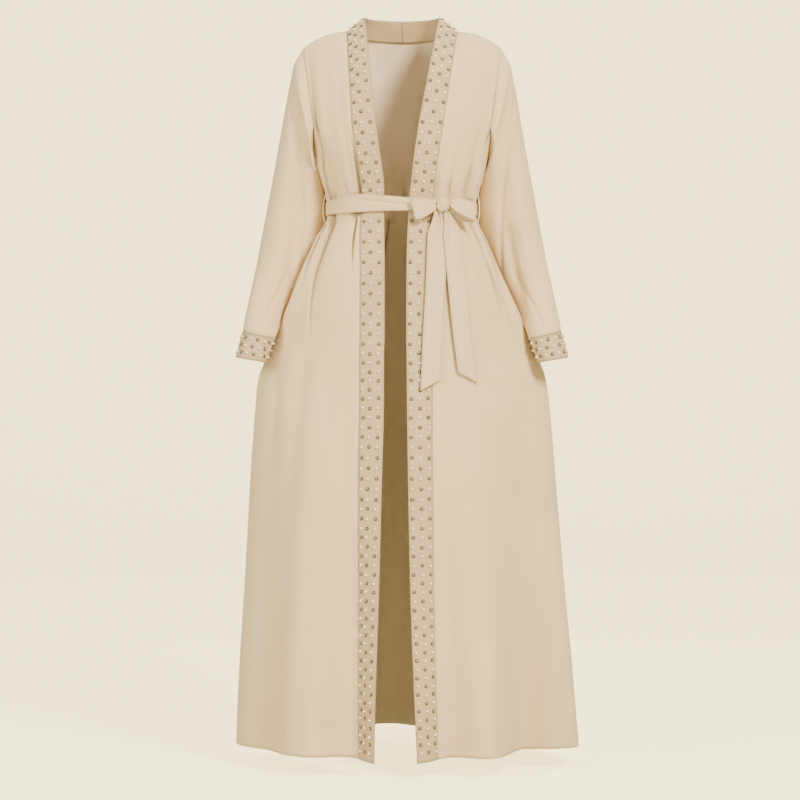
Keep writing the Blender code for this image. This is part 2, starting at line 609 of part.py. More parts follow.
def make_body(cloth, trim):
    """The back, the fronts, the bands, the sleeves and the cuffs."""
    grids = body_grids()
    rows, first = len(grids["back"]), RING_HEIGHTS.index(UNDERARM_Z)
    for name, side in (("left", 1), ("right", -1)):
        grids["band_" + name] = neck_band(grids["band_" + name], side)
    normals = body_normals(grids, rows, first + 1)

    sleeve, degrees = sleeve_grid(grids["front_left"], grids["back"])
    sleeve_normals = normals_of(sleeve, closed=True)
    front, back = normals["front_left"], normals["back"]
    hole = np.concatenate([front[first:, -1], back[first:, 0][::-1][1:-1]])
    joint = shared(hole, sleeve_normals[-1, ::2])
    sleeve_normals[-1, ::2] = joint
    sleeve_normals[-1, 1::2] = shared(joint, np.roll(joint, -1, axis=0))
    count = rows - first
    behind = np.roll(joint[::-1], 1, axis=0)[:count]
    flip = np.array([-1, 1, 1])
    front[first:, -1], normals["front_right"][first:, 0] = joint[:count], joint[:count] * flip
    back[first:, 0], back[first:, -1] = behind, behind * flip
    for name in ("front_left", "front_right"):
        seam = normals[name][-1]
        seam[1::2] = shared(seam[:-1:2], seam[2::2])

    seams = {
        "back": (((0, 1), (-1, -2)), ((-1, -2),)),
        "front_left": (((0, 1), (-1, -2)), ((-1, -2),)),
        "front_right": (((0, 1), (-1, -2)), ((-1, -2),)),
        "band_left": (((-1, -2),), ((-1, -2),)),
        "band_right": (((0, 1),), ((-1, -2),)),
    }
    for name, (columns, ends) in seams.items():
        grid = parted_grid(grids[name], normals[name], columns, ends)
        is_band = name.startswith("band")
        wall(name, grid, normals[name], TRIM if is_band else CLOTH, trim if is_band else cloth)
    make_sleeves(sleeve, sleeve_normals, degrees, cloth, trim)


def make_sleeves(sleeve, normals, degrees, cloth, trim):
    """Both sleeves and their cuffs."""
    top = oval(SLEEVE[-1], degrees)
    end = oval(CUFF_END, degrees)
    cuff = np.array([end, end + (top - end) * 0.5, top])
    cuff_normals = normals_of(cuff, closed=True)
    share((normals, 0), (cuff_normals, -1))
    sleeve = parted_loop(parted_loop(sleeve, normals, 0, 1), normals, -1, -2)
    cuff = parted_loop(cuff, cuff_normals, -1, -2)
    wall("sleeve_left", sleeve, normals, CLOTH, cloth, closed=True)
    wall("cuff_left", cuff, cuff_normals, TRIM, trim, closed=True)
    flip = np.array([-1, 1, 1])
    wall("sleeve_right", mirrored(sleeve), normals[:, ::-1] * flip, CLOTH, cloth, closed=True)
    wall("cuff_right", mirrored(cuff), cuff_normals[:, ::-1] * flip, TRIM, trim, closed=True)


def make_sash(cloth):
    """The part of the sash round the waist. It lies on the gathered cloth and spans the opening."""
    degrees = np.linspace(0, 360, BELT_COLUMNS + 1)
    rows = []
    for height in (-0.5, 0.0, 0.5):
        points = ring(BELT_Z + height * BELT_HEIGHT, degrees)[:-1]
        rows.append(points)
    grid = np.array(rows)
    normals = normals_of(grid, closed=True)
    grid += normals * (SASH_CLEARANCE + CLOTH)
    wall("sash", grid, normals, CLOTH, cloth, closed=True)


def make_knot(cloth):
    """The wrap at the middle of the bow, a rounded block."""
    mesh = bmesh.new()
    bmesh.ops.create_uvsphere(mesh, u_segments=16, v_segments=10, radius=1)
    for vertex in mesh.verts:
        size = sum(abs(part) ** KNOT_POWER for part in vertex.co) ** (1 / KNOT_POWER)
        vertex.co /= size
    bmesh.ops.scale(mesh, verts=mesh.verts, vec=KNOT_HALF)
    bmesh.ops.translate(mesh, verts=mesh.verts, vec=KNOT)
    new_object("bow_knot", mesh, cloth)


def make_loops(cloth):
    """The two loops of the bow: ribbons that leave the knot, turn and come back to it."""
    for loop in LOOPS:
        turn = np.linspace(0, 2 * math.pi, 24, endpoint=False)
        far = (1 - np.cos(turn)) / 2
        swell = np.sign(np.sin(turn)) * np.abs(np.sin(turn)) ** LOOP_POWER
        swell *= loop.bulge * (0.75 + 0.25 * far)
        half = loop.half_start + (loop.half_end - loop.half_start) * far**0.8
        rows = []
        for height in (-1.0, -0.35, 0.35, 1.0):
            out = KNOT_HALF[0] + SEAM + loop.reach * far - loop.lean * far * (height - 1) / 2
            x = KNOT[0] + loop.side * out
            y = KNOT[1] - swell + loop.backward * far
            z = KNOT[2] + height * half - loop.droop * far
            z -= loop.tilt * (1 - np.sin(turn)) / 2 * np.sin(turn / 2) ** 2
            rows.append(np.stack([x, y, z], axis=1))
        grid = np.array(rows)
        if signed_area(grid[1]) < 0:
            grid = grid[:, ::-1]
        wall(loop.name, grid, normals_of(grid, closed=True), LOOP_CLOTH, cloth, closed=True)


def signed_area(points):
    """Positive where a loop of points runs anticlockwise seen from above."""
    following = np.roll(points, -1, axis=0)
    return float(np.sum(points[:, 0] * following[:, 1] - following[:, 0] * points[:, 1])) / 2


def skirt_y(x, z):
    """The y of the front of the skirt, without its folds, at height z and side place x."""
    degrees = np.linspace(-75, 75, FINE)
    points = ring(z, degrees)
    return np.interp(x, points[:, 0], points[:, 1])


def make_tails(cloth):
    """The two ends of the sash. They lie on the skirt, just clear of it."""
    for tail in TAILS:
        rows = []
        path_z, path_x = zip(*tail.path[::-1], strict=True)
        for share in np.linspace(0, 1, 13):
            across = np.linspace(-1, 1, 5)
            bottom = tail.end_right + (tail.end_left - tail.end_right) * (across + 1) / 2
            z = tail.path[0][0] + (bottom - tail.path[0][0]) * (1 - share)
            middle = smooth(z, path_z, path_x)
            below = eased((tail.path[0][0] - z) / 0.05)
            half = tail.top_half_width + (tail.half_width - tail.top_half_width) * below
            x = middle + across * half
            lift = tail.lift + CLOTH + 0.008 * (1 - below)
            y = np.array([skirt_y(*place) for place in zip(x, z, strict=True)]) - lift
            rows.append(np.stack([x, y, z], axis=1))
        grid = np.array(rows)
        wall(tail.name, grid, normals_of(grid), CLOTH, cloth)


def make_carriers(thread):
    """A thread loop at each side seam, which holds the sash."""
    for side, name in ((1, "left"), (-1, "right")):
        curve = bpy.data.curves.new("carrier_" + name, "CURVE")
        curve.dimensions = "3D"
        curve.bevel_depth = THREAD / 2
        curve.bevel_resolution = 1
        curve.use_fill_caps = True
        spline = curve.splines.new("POLY")
        turns = np.linspace(0, 1, 11)
        spline.points.add(len(turns) - 1)
        for point, share in zip(spline.points, turns, strict=True):
            z = BELT_Z + 0.029 - 0.056 * share
            row = level(min(z, -0.32))
            bow = math.sin(math.pi * share) ** 0.6
            out = row.half_width + THREAD / 2 + 0.0012 + 0.0056 * bow
            point.co = (row.shift + side * out, row.corner, z, 1)
        curve.materials.append(thread)
        bpy.context.scene.collection.objects.link(bpy.data.objects.new("carrier_" + name, curve))


def main():
    for old in list(bpy.data.objects):
        bpy.data.objects.remove(old)
    cloth = material("sand_crepe", SAND, 0.75)
    trim = material("sand_trim", SAND_TRIM, 0.7)
    thread = material("thread", THREAD_COLOUR, 0.6)
    make_body(cloth, trim)
    make_sash(cloth)
    make_knot(cloth)
    make_loops(cloth)
    make_tails(cloth)
    make_carriers(thread)


main()
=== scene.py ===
# %% [markdown]
# # An abaya cloak
#
# This lesson dresses a plain solid model of a cloak in real cloth. The model, called the frame,
# already has every piece at its true size: two fronts, a back, two sleeves, two cuffs, the
# beaded bands and a sash tied in a bow. Each piece of cloth is made again here as a thin, finely
# divided sheet that lies on its solid, with the creases that the solid is too coarse to hold.
#
# Lengths are metres. +Z is up, the wearer faces -Y, and the wearer's left is +X.

# %% Load the frame
import math
from collections import namedtuple

import bmesh
import bpy
import numpy as np
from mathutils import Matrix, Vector, noise


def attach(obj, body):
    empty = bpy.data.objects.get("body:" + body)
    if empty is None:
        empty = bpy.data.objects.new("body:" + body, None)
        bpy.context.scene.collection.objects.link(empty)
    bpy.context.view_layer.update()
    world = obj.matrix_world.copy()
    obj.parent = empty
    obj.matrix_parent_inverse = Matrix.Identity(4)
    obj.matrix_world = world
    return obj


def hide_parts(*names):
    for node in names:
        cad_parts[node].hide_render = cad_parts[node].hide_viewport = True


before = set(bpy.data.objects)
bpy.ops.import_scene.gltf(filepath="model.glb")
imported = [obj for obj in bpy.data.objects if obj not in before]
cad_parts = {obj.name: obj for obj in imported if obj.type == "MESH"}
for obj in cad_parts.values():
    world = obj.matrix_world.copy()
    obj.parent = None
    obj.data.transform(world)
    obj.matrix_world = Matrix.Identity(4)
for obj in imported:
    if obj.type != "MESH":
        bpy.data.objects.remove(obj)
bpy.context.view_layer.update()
print("frame nodes:", ", ".join(sorted(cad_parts)))


# %% Helpers
def part_way(start, end, share):
    """The value that lies this share of the way from start to end."""
    return start + (end - start) * share


def placed(name, data):
    """A new object in the scene that shows this data."""
    made = bpy.data.objects.new(name, data)
    bpy.context.scene.collection.objects.link(made)
    return made


def finished(name, mesh):
    """The mesh that a bmesh ends as, shaded smooth."""
    data = bpy.data.meshes.new(name)
    mesh.to_mesh(data)
    mesh.free()
    data.shade_smooth()
    return data



# %% [markdown]
# ## The camera and the room
#
# The camera comes first, so that every later look at the cloak is through the same lens. It
# stands 4.6 m in front of the cloak, level with the middle of its length, with a long lens that
# keeps the perspective flat. The room is a pale floor that curves up into a wall.

# %% Camera
CAMERA_AWAY = 4.6
CAMERA_X, CAMERA_Z = -0.004, -0.738
LENS, SENSOR = 103.5, 36.0
FLOOR_Z = -1.462

camera_data = bpy.data.cameras.new("camera")
camera_data.lens, camera_data.sensor_width = LENS, SENSOR
camera = placed("camera", camera_data)
camera.location = (CAMERA_X, -CAMERA_AWAY, CAMERA_Z)
camera.rotation_euler = (math.radians(90), 0, 0)
bpy.context.scene.camera = camera
print(f"camera with a {LENS} mm lens, {CAMERA_AWAY} m away")


# %% Room
def room():
    """A floor that curves up into a wall behind the cloak."""
    mesh = bmesh.new()
    half_width, front, back, radius, height, steps = 11.0, -11.0, 8.0, 2.0, 7.0, 14
    profile = [(front, 0.0), (back - radius, 0.0)]
    for k in range(1, steps + 1):
        turn = math.pi / 2 * k / steps
        profile.append((back - radius + radius * math.sin(turn), radius - radius * math.cos(turn)))
    profile.append((back, height))
    line = [mesh.verts.new((-half_width, y, z + FLOOR_Z)) for y, z in profile]
    edges = [mesh.edges.new(pair) for pair in zip(line[:-1], line[1:], strict=True)]
    made = bmesh.ops.extrude_edge_only(mesh, edges=edges)
    moved = [part for part in made["geom"] if isinstance(part, bmesh.types.BMVert)]
    bmesh.ops.translate(mesh, verts=moved, vec=(2 * half_width, 0, 0))
    bmesh.ops.recalc_face_normals(mesh, faces=mesh.faces)
    made = placed("room", finished("room", mesh))
    return made


backdrop = room()
print("room floor at", FLOOR_Z)


# %% [markdown]
# ## Lights
#
# The light is broad and soft: one large panel high on the right draws the folds, a wide weaker
# one on the left and a pale sky fill the shadows, and a faint warm one stands for the light that
# the floor throws back. The lights are warm and the cloth is nearly neutral, so that the shadows
# between the folds don't turn orange.

# %% Lights
def panel_light(name, place, aim, size, power, colour):
    """A round panel of soft light at place, turned to face aim."""
    data = bpy.data.lights.new(name, "AREA")
    data.shape, data.size, data.energy, data.color = "DISK", size, power, colour
    made = placed(name, data)
    made.location = place
    made.rotation_euler = (Vector(aim) - Vector(place)).to_track_quat("-Z", "Y").to_euler()


CHEST = (0, 0, -0.5)
panel_light("key", (2.4, -3.7, 2.3), CHEST, 1.4, 560, (1.0, 0.85, 0.61))
panel_light("fill", (-3.4, -2.6, 0.9), CHEST, 1.8, 205, (1.0, 0.845, 0.61))
panel_light("top", (0.3, 0.8, 2.8), CHEST, 2.2, 70, (1.0, 0.85, 0.61))
panel_light("low", (0.3, -3.0, -1.25), (0, 0, -1.15), 1.4, 20, (1.0, 0.55, 0.22))

world = bpy.data.worlds.new("studio")
world.use_nodes = True
sky = world.node_tree.nodes["Background"].inputs
sky["Color"].default_value = (0.96, 0.82, 0.59, 1)
sky["Strength"].default_value = 0.50
bpy.context.scene.world = world
print("four soft lights and a pale sky")

# %% [markdown]
# ## The shape of the body of the cloak
#
# The fronts, the back and the bands are cut from one shell, which is described ring by ring. Each
# row of the table is a level ring: its half width, its depth in front and behind, where its side
# lies, and how round its corners are. Rings between the rows are read from smooth curves, so the
# table stays short.

# %% Driving sizes
SEAM = 0.0003
BAND_WIDTH = 0.050
CUFF_HEIGHT = 0.053
HEM_Z, CHEST_Z, UNDERARM_Z = -1.422, -0.200, -0.270
BELT_Z, BELT_HEIGHT = -0.356, 0.034
TIP_X, TIP_Z = 0.075, 0.028
NECK_SEAM_X = 0.111
NAPE_Y, NAPE_Z = 0.084, -0.0113
NAPE_TOP_Y, NAPE_TOP_Z = 0.066, 0.030
SHOULDER_ROUND, NAPE_ROUND = 0.72, 0.95
CORNER_DROP, CORNER_SPREAD, CORNER_RISE = 0.009, 11, 0.12
ARMHOLE_CALM = 14
FINE = 400
SIDES = ((1, "left"), (-1, "right"))

Level = namedtuple(
    "Level", "z half_width shift front back corner front_power back_power edge_right edge_left"
)
LEVELS = [
    Level(-1.422, 0.341, 0.009, 0.222, 0.250, 0.000, 1.8, 1.9, -0.0548, 0.0297),
    Level(-1.300, 0.334, 0.007, 0.212, 0.236, 0.000, 1.8, 1.9, -0.0510, 0.0230),
    Level(-1.100, 0.3195, 0.004, 0.197, 0.214, 0.000, 1.75, 1.85, -0.0440, 0.0155),
    Level(-0.900, 0.306, 0.002, 0.181, 0.194, 0.002, 1.7, 1.75, -0.0390, 0.0115),
    Level(-0.760, 0.296, 0.001, 0.168, 0.178, 0.005, 1.55, 1.6, -0.0355, 0.0095),
    Level(-0.700, 0.290, 0.000, 0.161, 0.170, 0.008, 1.35, 1.4, -0.0350, 0.0090),
    Level(-0.655, 0.274, 0.0000, 0.156, 0.164, 0.006, 1.35, 1.35, -0.0350, 0.0085),
    Level(-0.610, 0.2518, 0.0000, 0.150, 0.157, 0.000, 1.4, 1.35, -0.0340, 0.0080),
    Level(-0.550, 0.2285, -0.0005, 0.142, 0.149, -0.014, 1.5, 1.35, -0.0340, 0.0080),
    Level(-0.480, 0.197, -0.0025, 0.131, 0.136, -0.020, 1.6, 1.45, -0.0340, 0.0085),
    Level(-0.420, 0.167, -0.002, 0.119, 0.119, -0.012, 1.9, 1.7, -0.0345, 0.0100),
    Level(-0.380, 0.149, -0.0015, 0.111, 0.102, -0.002, 2.2, 2.1, -0.0350, 0.0120),
    Level(-0.335, 0.148, -0.001, 0.112, 0.099, 0.000, 2.2, 2.2, -0.0350, 0.0150),
    Level(-0.305, 0.157, 0.000, 0.119, 0.104, 0.000, 2.2, 2.3, -0.0365, 0.0185),
    Level(-0.270, 0.169, 0.000, 0.126, 0.109, 0.000, 2.2, 2.4, -0.0415, 0.0220),
    Level(-0.235, 0.181, 0.000, 0.130, 0.112, 0.000, 2.2, 2.4, -0.0465, 0.0270),
    Level(-0.200, 0.196, 0.000, 0.130, 0.114, 0.000, 2.2, 2.4, -0.0510, 0.0320),
]
Armhole = namedtuple("Armhole", "z front back")
ARMHOLE = [Armhole(-0.270, 90, 90), Armhole(-0.235, 75, 105), Armhole(-0.200, 63, 118)]
Shoulder = namedtuple("Shoulder", "x z")
SHOULDER = [
    Shoulder(0.111, 0.0),
    Shoulder(0.140, -0.004),
    Shoulder(0.165, -0.0125),
    Shoulder(0.187, -0.025),
    Shoulder(0.199, -0.0345),
]


# %% [markdown]
# The folds are a second table. Each fold runs down the cloth between two heights, at an angle
# measured from the middle of the front, and presses the cloth in or out by a soft hump. Folds
# that start at the sash are deep there, where the cloth is gathered, and fade out below.

# %% Folds
Fold = namedtuple(
    "Fold",
    "top bottom angle_top angle_bottom width_top width_bottom depth_top depth_bottom "
    "fade_top fade_bottom",
)


def side_folds(left, right):
    """Low ridges down both sides, at these angles, that bring the cloth out to the sleeves beside
    the forearms and under the arms."""
    return [
        Fold(-0.54, -0.634, left, left, 9, 9, 0.0015, 0.0015, 0.03, 0.012),
        Fold(-0.54, -0.634, right, right, 9, 9, 0.0015, 0.0015, 0.03, 0.012),
        Fold(-0.22, -0.35, left, left, 7, 6, 0.0024, 0.0024, 0.05, 0.015),
        Fold(-0.22, -0.35, right, right, 7, 6, 0.0035, 0.0035, 0.05, 0.015),
    ]


FRONT_FOLDS = [
    Fold(-0.05, -0.37, -57, -69, 7, 5, -0.005, -0.014, 0.10, 0),
    Fold(-0.10, -0.33, -74, -80, 6, 5, 0.002, 0.004, 0.08, 0.03),
    Fold(-0.15, -0.37, -37, -37, 4.5, 4, -0.002, -0.009, 0.08, 0),
    Fold(-0.06, -0.30, -46, -48, 6, 6, -0.003, -0.003, 0.10, 0.10),
    Fold(-0.05, -0.37, 57, 61, 7, 5, -0.004, -0.013, 0.10, 0),
    Fold(-0.18, -0.37, 42, 40, 5, 4, -0.001, -0.007, 0.08, 0),
    Fold(-0.17, -0.37, 31, 29.5, 4, 3.5, -0.001, -0.006, 0.08, 0),
    Fold(-0.34, -0.64, -69, -52, 4.5, 8, -0.013, -0.005, 0, 0.14),
    Fold(-0.385, -0.66, -81, -68, 4, 8, 0.003, 0.006, 0.03, 0.16),
    Fold(-0.34, -0.50, -36.5, -31, 4, 6, -0.008, -0.002, 0, 0.08),
    Fold(-0.34, -0.66, 59, 50, 4, 8, -0.010, -0.004, 0, 0.14),
    Fold(-0.34, -0.68, 69, 67, 4, 6, -0.011, -0.005, 0, 0.14),
    Fold(-0.385, -0.62, 63, 59, 3, 4, 0.002, 0.005, 0.03, 0.12),
    Fold(-0.66, -1.422, -22, -20, 9, 8, 0.0, -0.040, 0, 0),
    Fold(-0.62, -1.422, -34, -35, 10, 10, 0.0, 0.030, 0, 0),
    Fold(-0.74, -1.422, -62, -58, 12, 12, 0.0, -0.016, 0, 0),
    Fold(-0.80, -1.422, -9, -9.5, 5, 5, 0.0, 0.014, 0, 0),
    Fold(-0.70, -1.422, 15, 14.5, 7, 7, 0.0, -0.038, 0, 0),
    Fold(-0.64, -1.422, 27, 26, 9, 9, 0.0, 0.026, 0, 0),
    Fold(-0.66, -1.422, 53, 48, 12, 12, 0.0, -0.046, 0, 0),
    Fold(-0.74, -1.422, 74, 72, 9, 9, 0.0, 0.014, 0, 0),
    Fold(-0.60, -1.422, -30, -36, 4, 5, 0.0, -0.010, 0, 0),
    Fold(-0.55, -1.02, -42, -46, 5, 6, -0.005, -0.004, 0.14, 0.22),
    Fold(-0.60, -0.98, -60, -59, 4.5, 6, -0.005, -0.004, 0.14, 0.22),
    Fold(-0.90, -1.422, 60, 51, 4.5, 5, 0.0, -0.008, 0, 0),
    *side_folds(90, -90),
]
BACK_FOLDS = [
    Fold(-0.14, -0.37, 118, 113, 6, 5, -0.003, -0.010, 0.10, 0),
    Fold(-0.17, -0.37, 136, 133, 6, 5, -0.002, -0.011, 0.10, 0),
    Fold(-0.19, -0.37, 154, 153, 5, 5, -0.002, -0.009, 0.10, 0),
    Fold(-0.12, -0.37, 173, 172, 6, 5, -0.003, -0.011, 0.10, 0),
    Fold(-0.18, -0.37, 190, 191, 5, 5, -0.002, -0.009, 0.10, 0),
    Fold(-0.16, -0.37, 209, 211, 6, 5, -0.003, -0.011, 0.10, 0),
    Fold(-0.20, -0.37, 226, 230, 6, 5, -0.002, -0.009, 0.10, 0),
    Fold(-0.15, -0.37, 243, 247, 6, 5, -0.003, -0.010, 0.10, 0),
    Fold(-0.34, -1.422, 114, 113, 5, 9, -0.010, -0.030, 0, 0),
    Fold(-0.42, -1.422, 126, 128, 6, 8, 0.001, 0.020, 0, 0),
    Fold(-0.34, -1.422, 138, 143, 5, 9, -0.011, -0.036, 0, 0),
    Fold(-0.42, -1.422, 151, 158, 6, 8, 0.001, 0.024, 0, 0),
    Fold(-0.34, -1.422, 164, 172, 5, 8, -0.010, -0.032, 0, 0),
    Fold(-0.42, -1.422, 178, 187, 6, 8, 0.001, 0.022, 0, 0),
    Fold(-0.34, -1.422, 192, 202, 5, 9, -0.011, -0.038, 0, 0),
    Fold(-0.42, -1.422, 206, 217, 6, 8, 0.001, 0.024, 0, 0),
    Fold(-0.34, -1.422, 221, 231, 5, 9, -0.011, -0.032, 0, 0),
    Fold(-0.42, -1.422, 234, 243, 6, 7, 0.001, 0.016, 0, 0),
    Fold(-0.34, -1.422, 247, 255, 5, 8, -0.010, -0.026, 0, 0),
    *side_folds(90, 270),
]
print(len(FRONT_FOLDS), "folds in front and", len(BACK_FOLDS), "behind")

# %% [markdown]
# Creases are sharper than folds. Where the sash gathers the cloth, one layer laps a little over
# the next, so each crease has a steep side and a gentle one. A crease is a line of places, each a
# height and an angle, and a bend: the cloth stands out by the bend's height just beside the line
# and falls back to the line in a step. A positive side laps towards larger angles.

# %% Creases
Crease = namedtuple("Crease", "places height steep gentle side fade_top fade_bottom")
FRONT_CREASES = [
    Crease([(-0.372, -71.2), (-0.421, -68.4), (-0.475, -63.6), (-0.527, -57.1), (-0.640, -45.0)],
           0.0080, 0.9, 7.0, -1, 0, 0.20),
    Crease([(-0.372, -36.3), (-0.409, -33.8), (-0.435, -31.7), (-0.500, -26.0)],
           0.0068, 0.8, 5.0, 1, 0, 0.10),
    Crease([(-0.372, -42.7), (-0.395, -42.0)], 0.0026, 0.8, 3.0, -1, 0, 0.02),
    Crease([(-0.372, -80.0), (-0.440, -77.0), (-0.560, -66.0)], 0.0039, 1.4, 6.0, -1, 0.02, 0.16),
    Crease([(-0.2000, -35.1), (-0.253, -34.7), (-0.307, -35.6), (-0.341, -36.3)],
           0.0070, 0.8, 6.0, -1, 0.10, 0),
    Crease([(-0.050, -53), (-0.204, -58), (-0.285, -69.7), (-0.341, -72.8)],
           0.0070, 1.2, 8.0, 1, 0.16, 0),
    Crease([(-0.294, -78.5), (-0.341, -77.0)], 0.0034, 1.0, 5.0, -1, 0.03, 0),
    Crease([(-0.294, -50.0), (-0.341, -49.0)], 0.0021, 1.0, 4.0, -1, 0.05, 0),
    Crease([(-0.130, 73), (-0.196, 62), (-0.259, 66.5), (-0.310, 70.5), (-0.341, 73.5)],
           0.0068, 1.1, 7.5, -1, 0.12, 0),
    Crease([(-0.217, 54.7), (-0.287, 60.8), (-0.341, 63.4)], 0.0047, 0.9, 5.0, 1, 0.08, 0),
    Crease([(-0.280, 40.0), (-0.341, 41.2)], 0.0039, 0.8, 5.0, 1, 0.05, 0),
    Crease([(-0.270, 29.3), (-0.341, 28.7)], 0.0031, 0.8, 4.0, 1, 0.06, 0),
    Crease([(-0.372, 72.4), (-0.413, 70.3), (-0.441, 68.3), (-0.496, 62.8), (-0.600, 57.6)],
           0.0076, 0.9, 7.0, 1, 0, 0.20),
    Crease([(-0.372, 80.0), (-0.429, 79.0), (-0.560, 70.0)], 0.0044, 1.2, 5.0, 1, 0, 0.16),
    Crease([(-0.372, 60.0), (-0.450, 52.0), (-0.520, 47.0)], 0.0031, 1.0, 5.0, -1, 0, 0.12),
]
BACK_CREASES = [
    Crease([(-0.180, 122), (-0.341, 114)], 0.0052, 0.9, 6.0, 1, 0.12, 0),
    Crease([(-0.230, 140), (-0.341, 136)], 0.0044, 0.9, 5.0, -1, 0.10, 0),
    Crease([(-0.200, 159), (-0.341, 158)], 0.0055, 0.9, 6.0, 1, 0.12, 0),
    Crease([(-0.260, 178), (-0.341, 177)], 0.0039, 0.8, 5.0, -1, 0.08, 0),
    Crease([(-0.210, 197), (-0.341, 199)], 0.0052, 0.9, 6.0, -1, 0.12, 0),
    Crease([(-0.240, 217), (-0.341, 221)], 0.0044, 0.9, 5.0, 1, 0.10, 0),
    Crease([(-0.190, 238), (-0.341, 245)], 0.0052, 0.9, 6.0, -1, 0.12, 0),
    Crease([(-0.372, 116), (-0.480, 118), (-0.640, 122)], 0.0060, 0.9, 7.0, -1, 0, 0.24),
    Crease([(-0.372, 133), (-0.450, 135), (-0.560, 139)], 0.0044, 0.9, 5.0, 1, 0, 0.16),
    Crease([(-0.372, 150), (-0.500, 153), (-0.680, 158)], 0.0062, 0.9, 7.0, 1, 0, 0.26),
    Crease([(-0.372, 171), (-0.440, 172), (-0.540, 175)], 0.0042, 0.9, 5.0, -1, 0, 0.14),
    Crease([(-0.372, 190), (-0.480, 192), (-0.650, 196)], 0.0060, 0.9, 7.0, -1, 0, 0.24),
    Crease([(-0.372, 209), (-0.450, 211), (-0.560, 214)], 0.0044, 0.9, 5.0, 1, 0, 0.16),
    Crease([(-0.372, 226), (-0.500, 230), (-0.660, 235)], 0.0062, 0.9, 7.0, -1, 0, 0.24),
    Crease([(-0.372, 243), (-0.450, 246), (-0.600, 252)], 0.0047, 0.9, 6.0, 1, 0, 0.18),
]  # fmt: skip
PINCH = 0.012  # how far from the sash the creases reach their height
VALLEY = 1.15  # how deep the step goes in beside a crease, for each unit of its height
VALLEY_PLACE, VALLEY_WIDTH = 1.7, 1.3  # of that step, in widths of the crease's steep side
PINCHED = 0.2  # the share of a crease's height that is left under the sash
DEEPEST = 0.0052  # the height of a crease whose painted shade is at its darkest
print(len(FRONT_CREASES), "creases in front and", len(BACK_CREASES), "behind")


# %% Curves through the tables
def smooth(x, xs, ys):
    """A curve through the points with no overshoot between them, read at x. xs must rise."""
    xs, ys = np.asarray(xs, float), np.asarray(ys, float)
    gaps = np.diff(xs)
    slopes = np.diff(ys) / gaps
    tangents = np.concatenate([slopes[:1], np.zeros(len(xs) - 2), slopes[-1:]])
    for i in range(1, len(xs) - 1):
        if slopes[i - 1] * slopes[i] > 0:
            tangents[i] = 2 * slopes[i - 1] * slopes[i] / (slopes[i - 1] + slopes[i])
    i = np.clip(np.searchsorted(xs, x) - 1, 0, len(gaps) - 1)
    t = np.clip((x - xs[i]) / gaps[i], 0, 1)
    near = (1 + 2 * t) * (1 - t) ** 2 * ys[i] + t * (1 - t) ** 2 * gaps[i] * tangents[i]
    far = t * t * (3 - 2 * t) * ys[i + 1] - t * t * (1 - t) * gaps[i] * tangents[i + 1]
    return near + far


def eased(t):
    t = np.clip(t, 0, 1)
    return t * t * (3 - 2 * t)


def read_table(rows, at):
    """The other columns of a table, read where its first column has this value."""
    first, *others = zip(*rows, strict=True)
    return [smooth(at, first, column) for column in others]


def level(z):
    return Level(z, *read_table(LEVELS, z))


def faded(value, row, top, bottom, z):
    """The value at this height, weakened where the row's fold or crease fades at its ends."""
    if row.fade_top:
        value *= eased((top - z) / row.fade_top)
    if row.fade_bottom:
        value *= eased((z - bottom) / row.fade_bottom)
    return value


def hump(distance, width):
    return np.exp(-((distance / width) ** 2))


def fold_depth(folds, z, degrees):
    """How far the folds move the cloth out at this height, for an array of angles."""
    total = np.zeros_like(degrees)
    for fold in folds:
        if not fold.bottom - 1e-9 <= z <= fold.top:
            continue
        down = (fold.top - z) / (fold.top - fold.bottom)
        depth = part_way(fold.depth_top, fold.depth_bottom, down)
        depth = faded(depth, fold, fold.top, fold.bottom, z)
        angle = part_way(fold.angle_top, fold.angle_bottom, down)
        width = part_way(fold.width_top, fold.width_bottom, down)
        total += depth * hump(degrees - angle, width)
    return total


def crease_depth(creases, z, degrees):
    """How far the creases move the cloth out at this height, and the painted shade that darkens
    the cloth deep in a crease, from 0 to 1, for an array of angles."""
    total, shade_mask = np.zeros_like(degrees), np.zeros_like(degrees)
    for crease in creases:
        places = crease.places[::-1]
        top, bottom = places[-1][0], places[0][0]
        if not bottom <= z <= top:
            continue
        strength = faded(1.0, crease, top, bottom, z)
        line = float(smooth(z, *zip(*places, strict=True)))
        away = (degrees - line) * crease.side
        gentle = hump(np.maximum(away, 0), crease.gentle) * (away > 0)
        steep = hump(np.minimum(away, 0), crease.steep) * (away <= 0)
        valley = hump(away + VALLEY_PLACE * crease.steep, VALLEY_WIDTH * crease.steep)
        pinch = part_way(PINCHED, 1, eased((abs(z - BELT_Z) - BELT_HEIGHT / 2) / PINCH))
        total += crease.height * strength * pinch * (gentle + steep - VALLEY * valley)
        # painted shade: the step beside a crease's line is darkened, the more the higher the crease
        shade_share = np.minimum(valley * strength * crease.height / DEEPEST, 1)
        shade_mask = np.maximum(shade_mask, shade_share)
    return total, shade_mask


def armhole_angle(z, branch):
    if z <= UNDERARM_Z:
        return 90.0
    heights = [row.z for row in ARMHOLE]
    return float(smooth(z, heights, [getattr(row, branch) for row in ARMHOLE]))


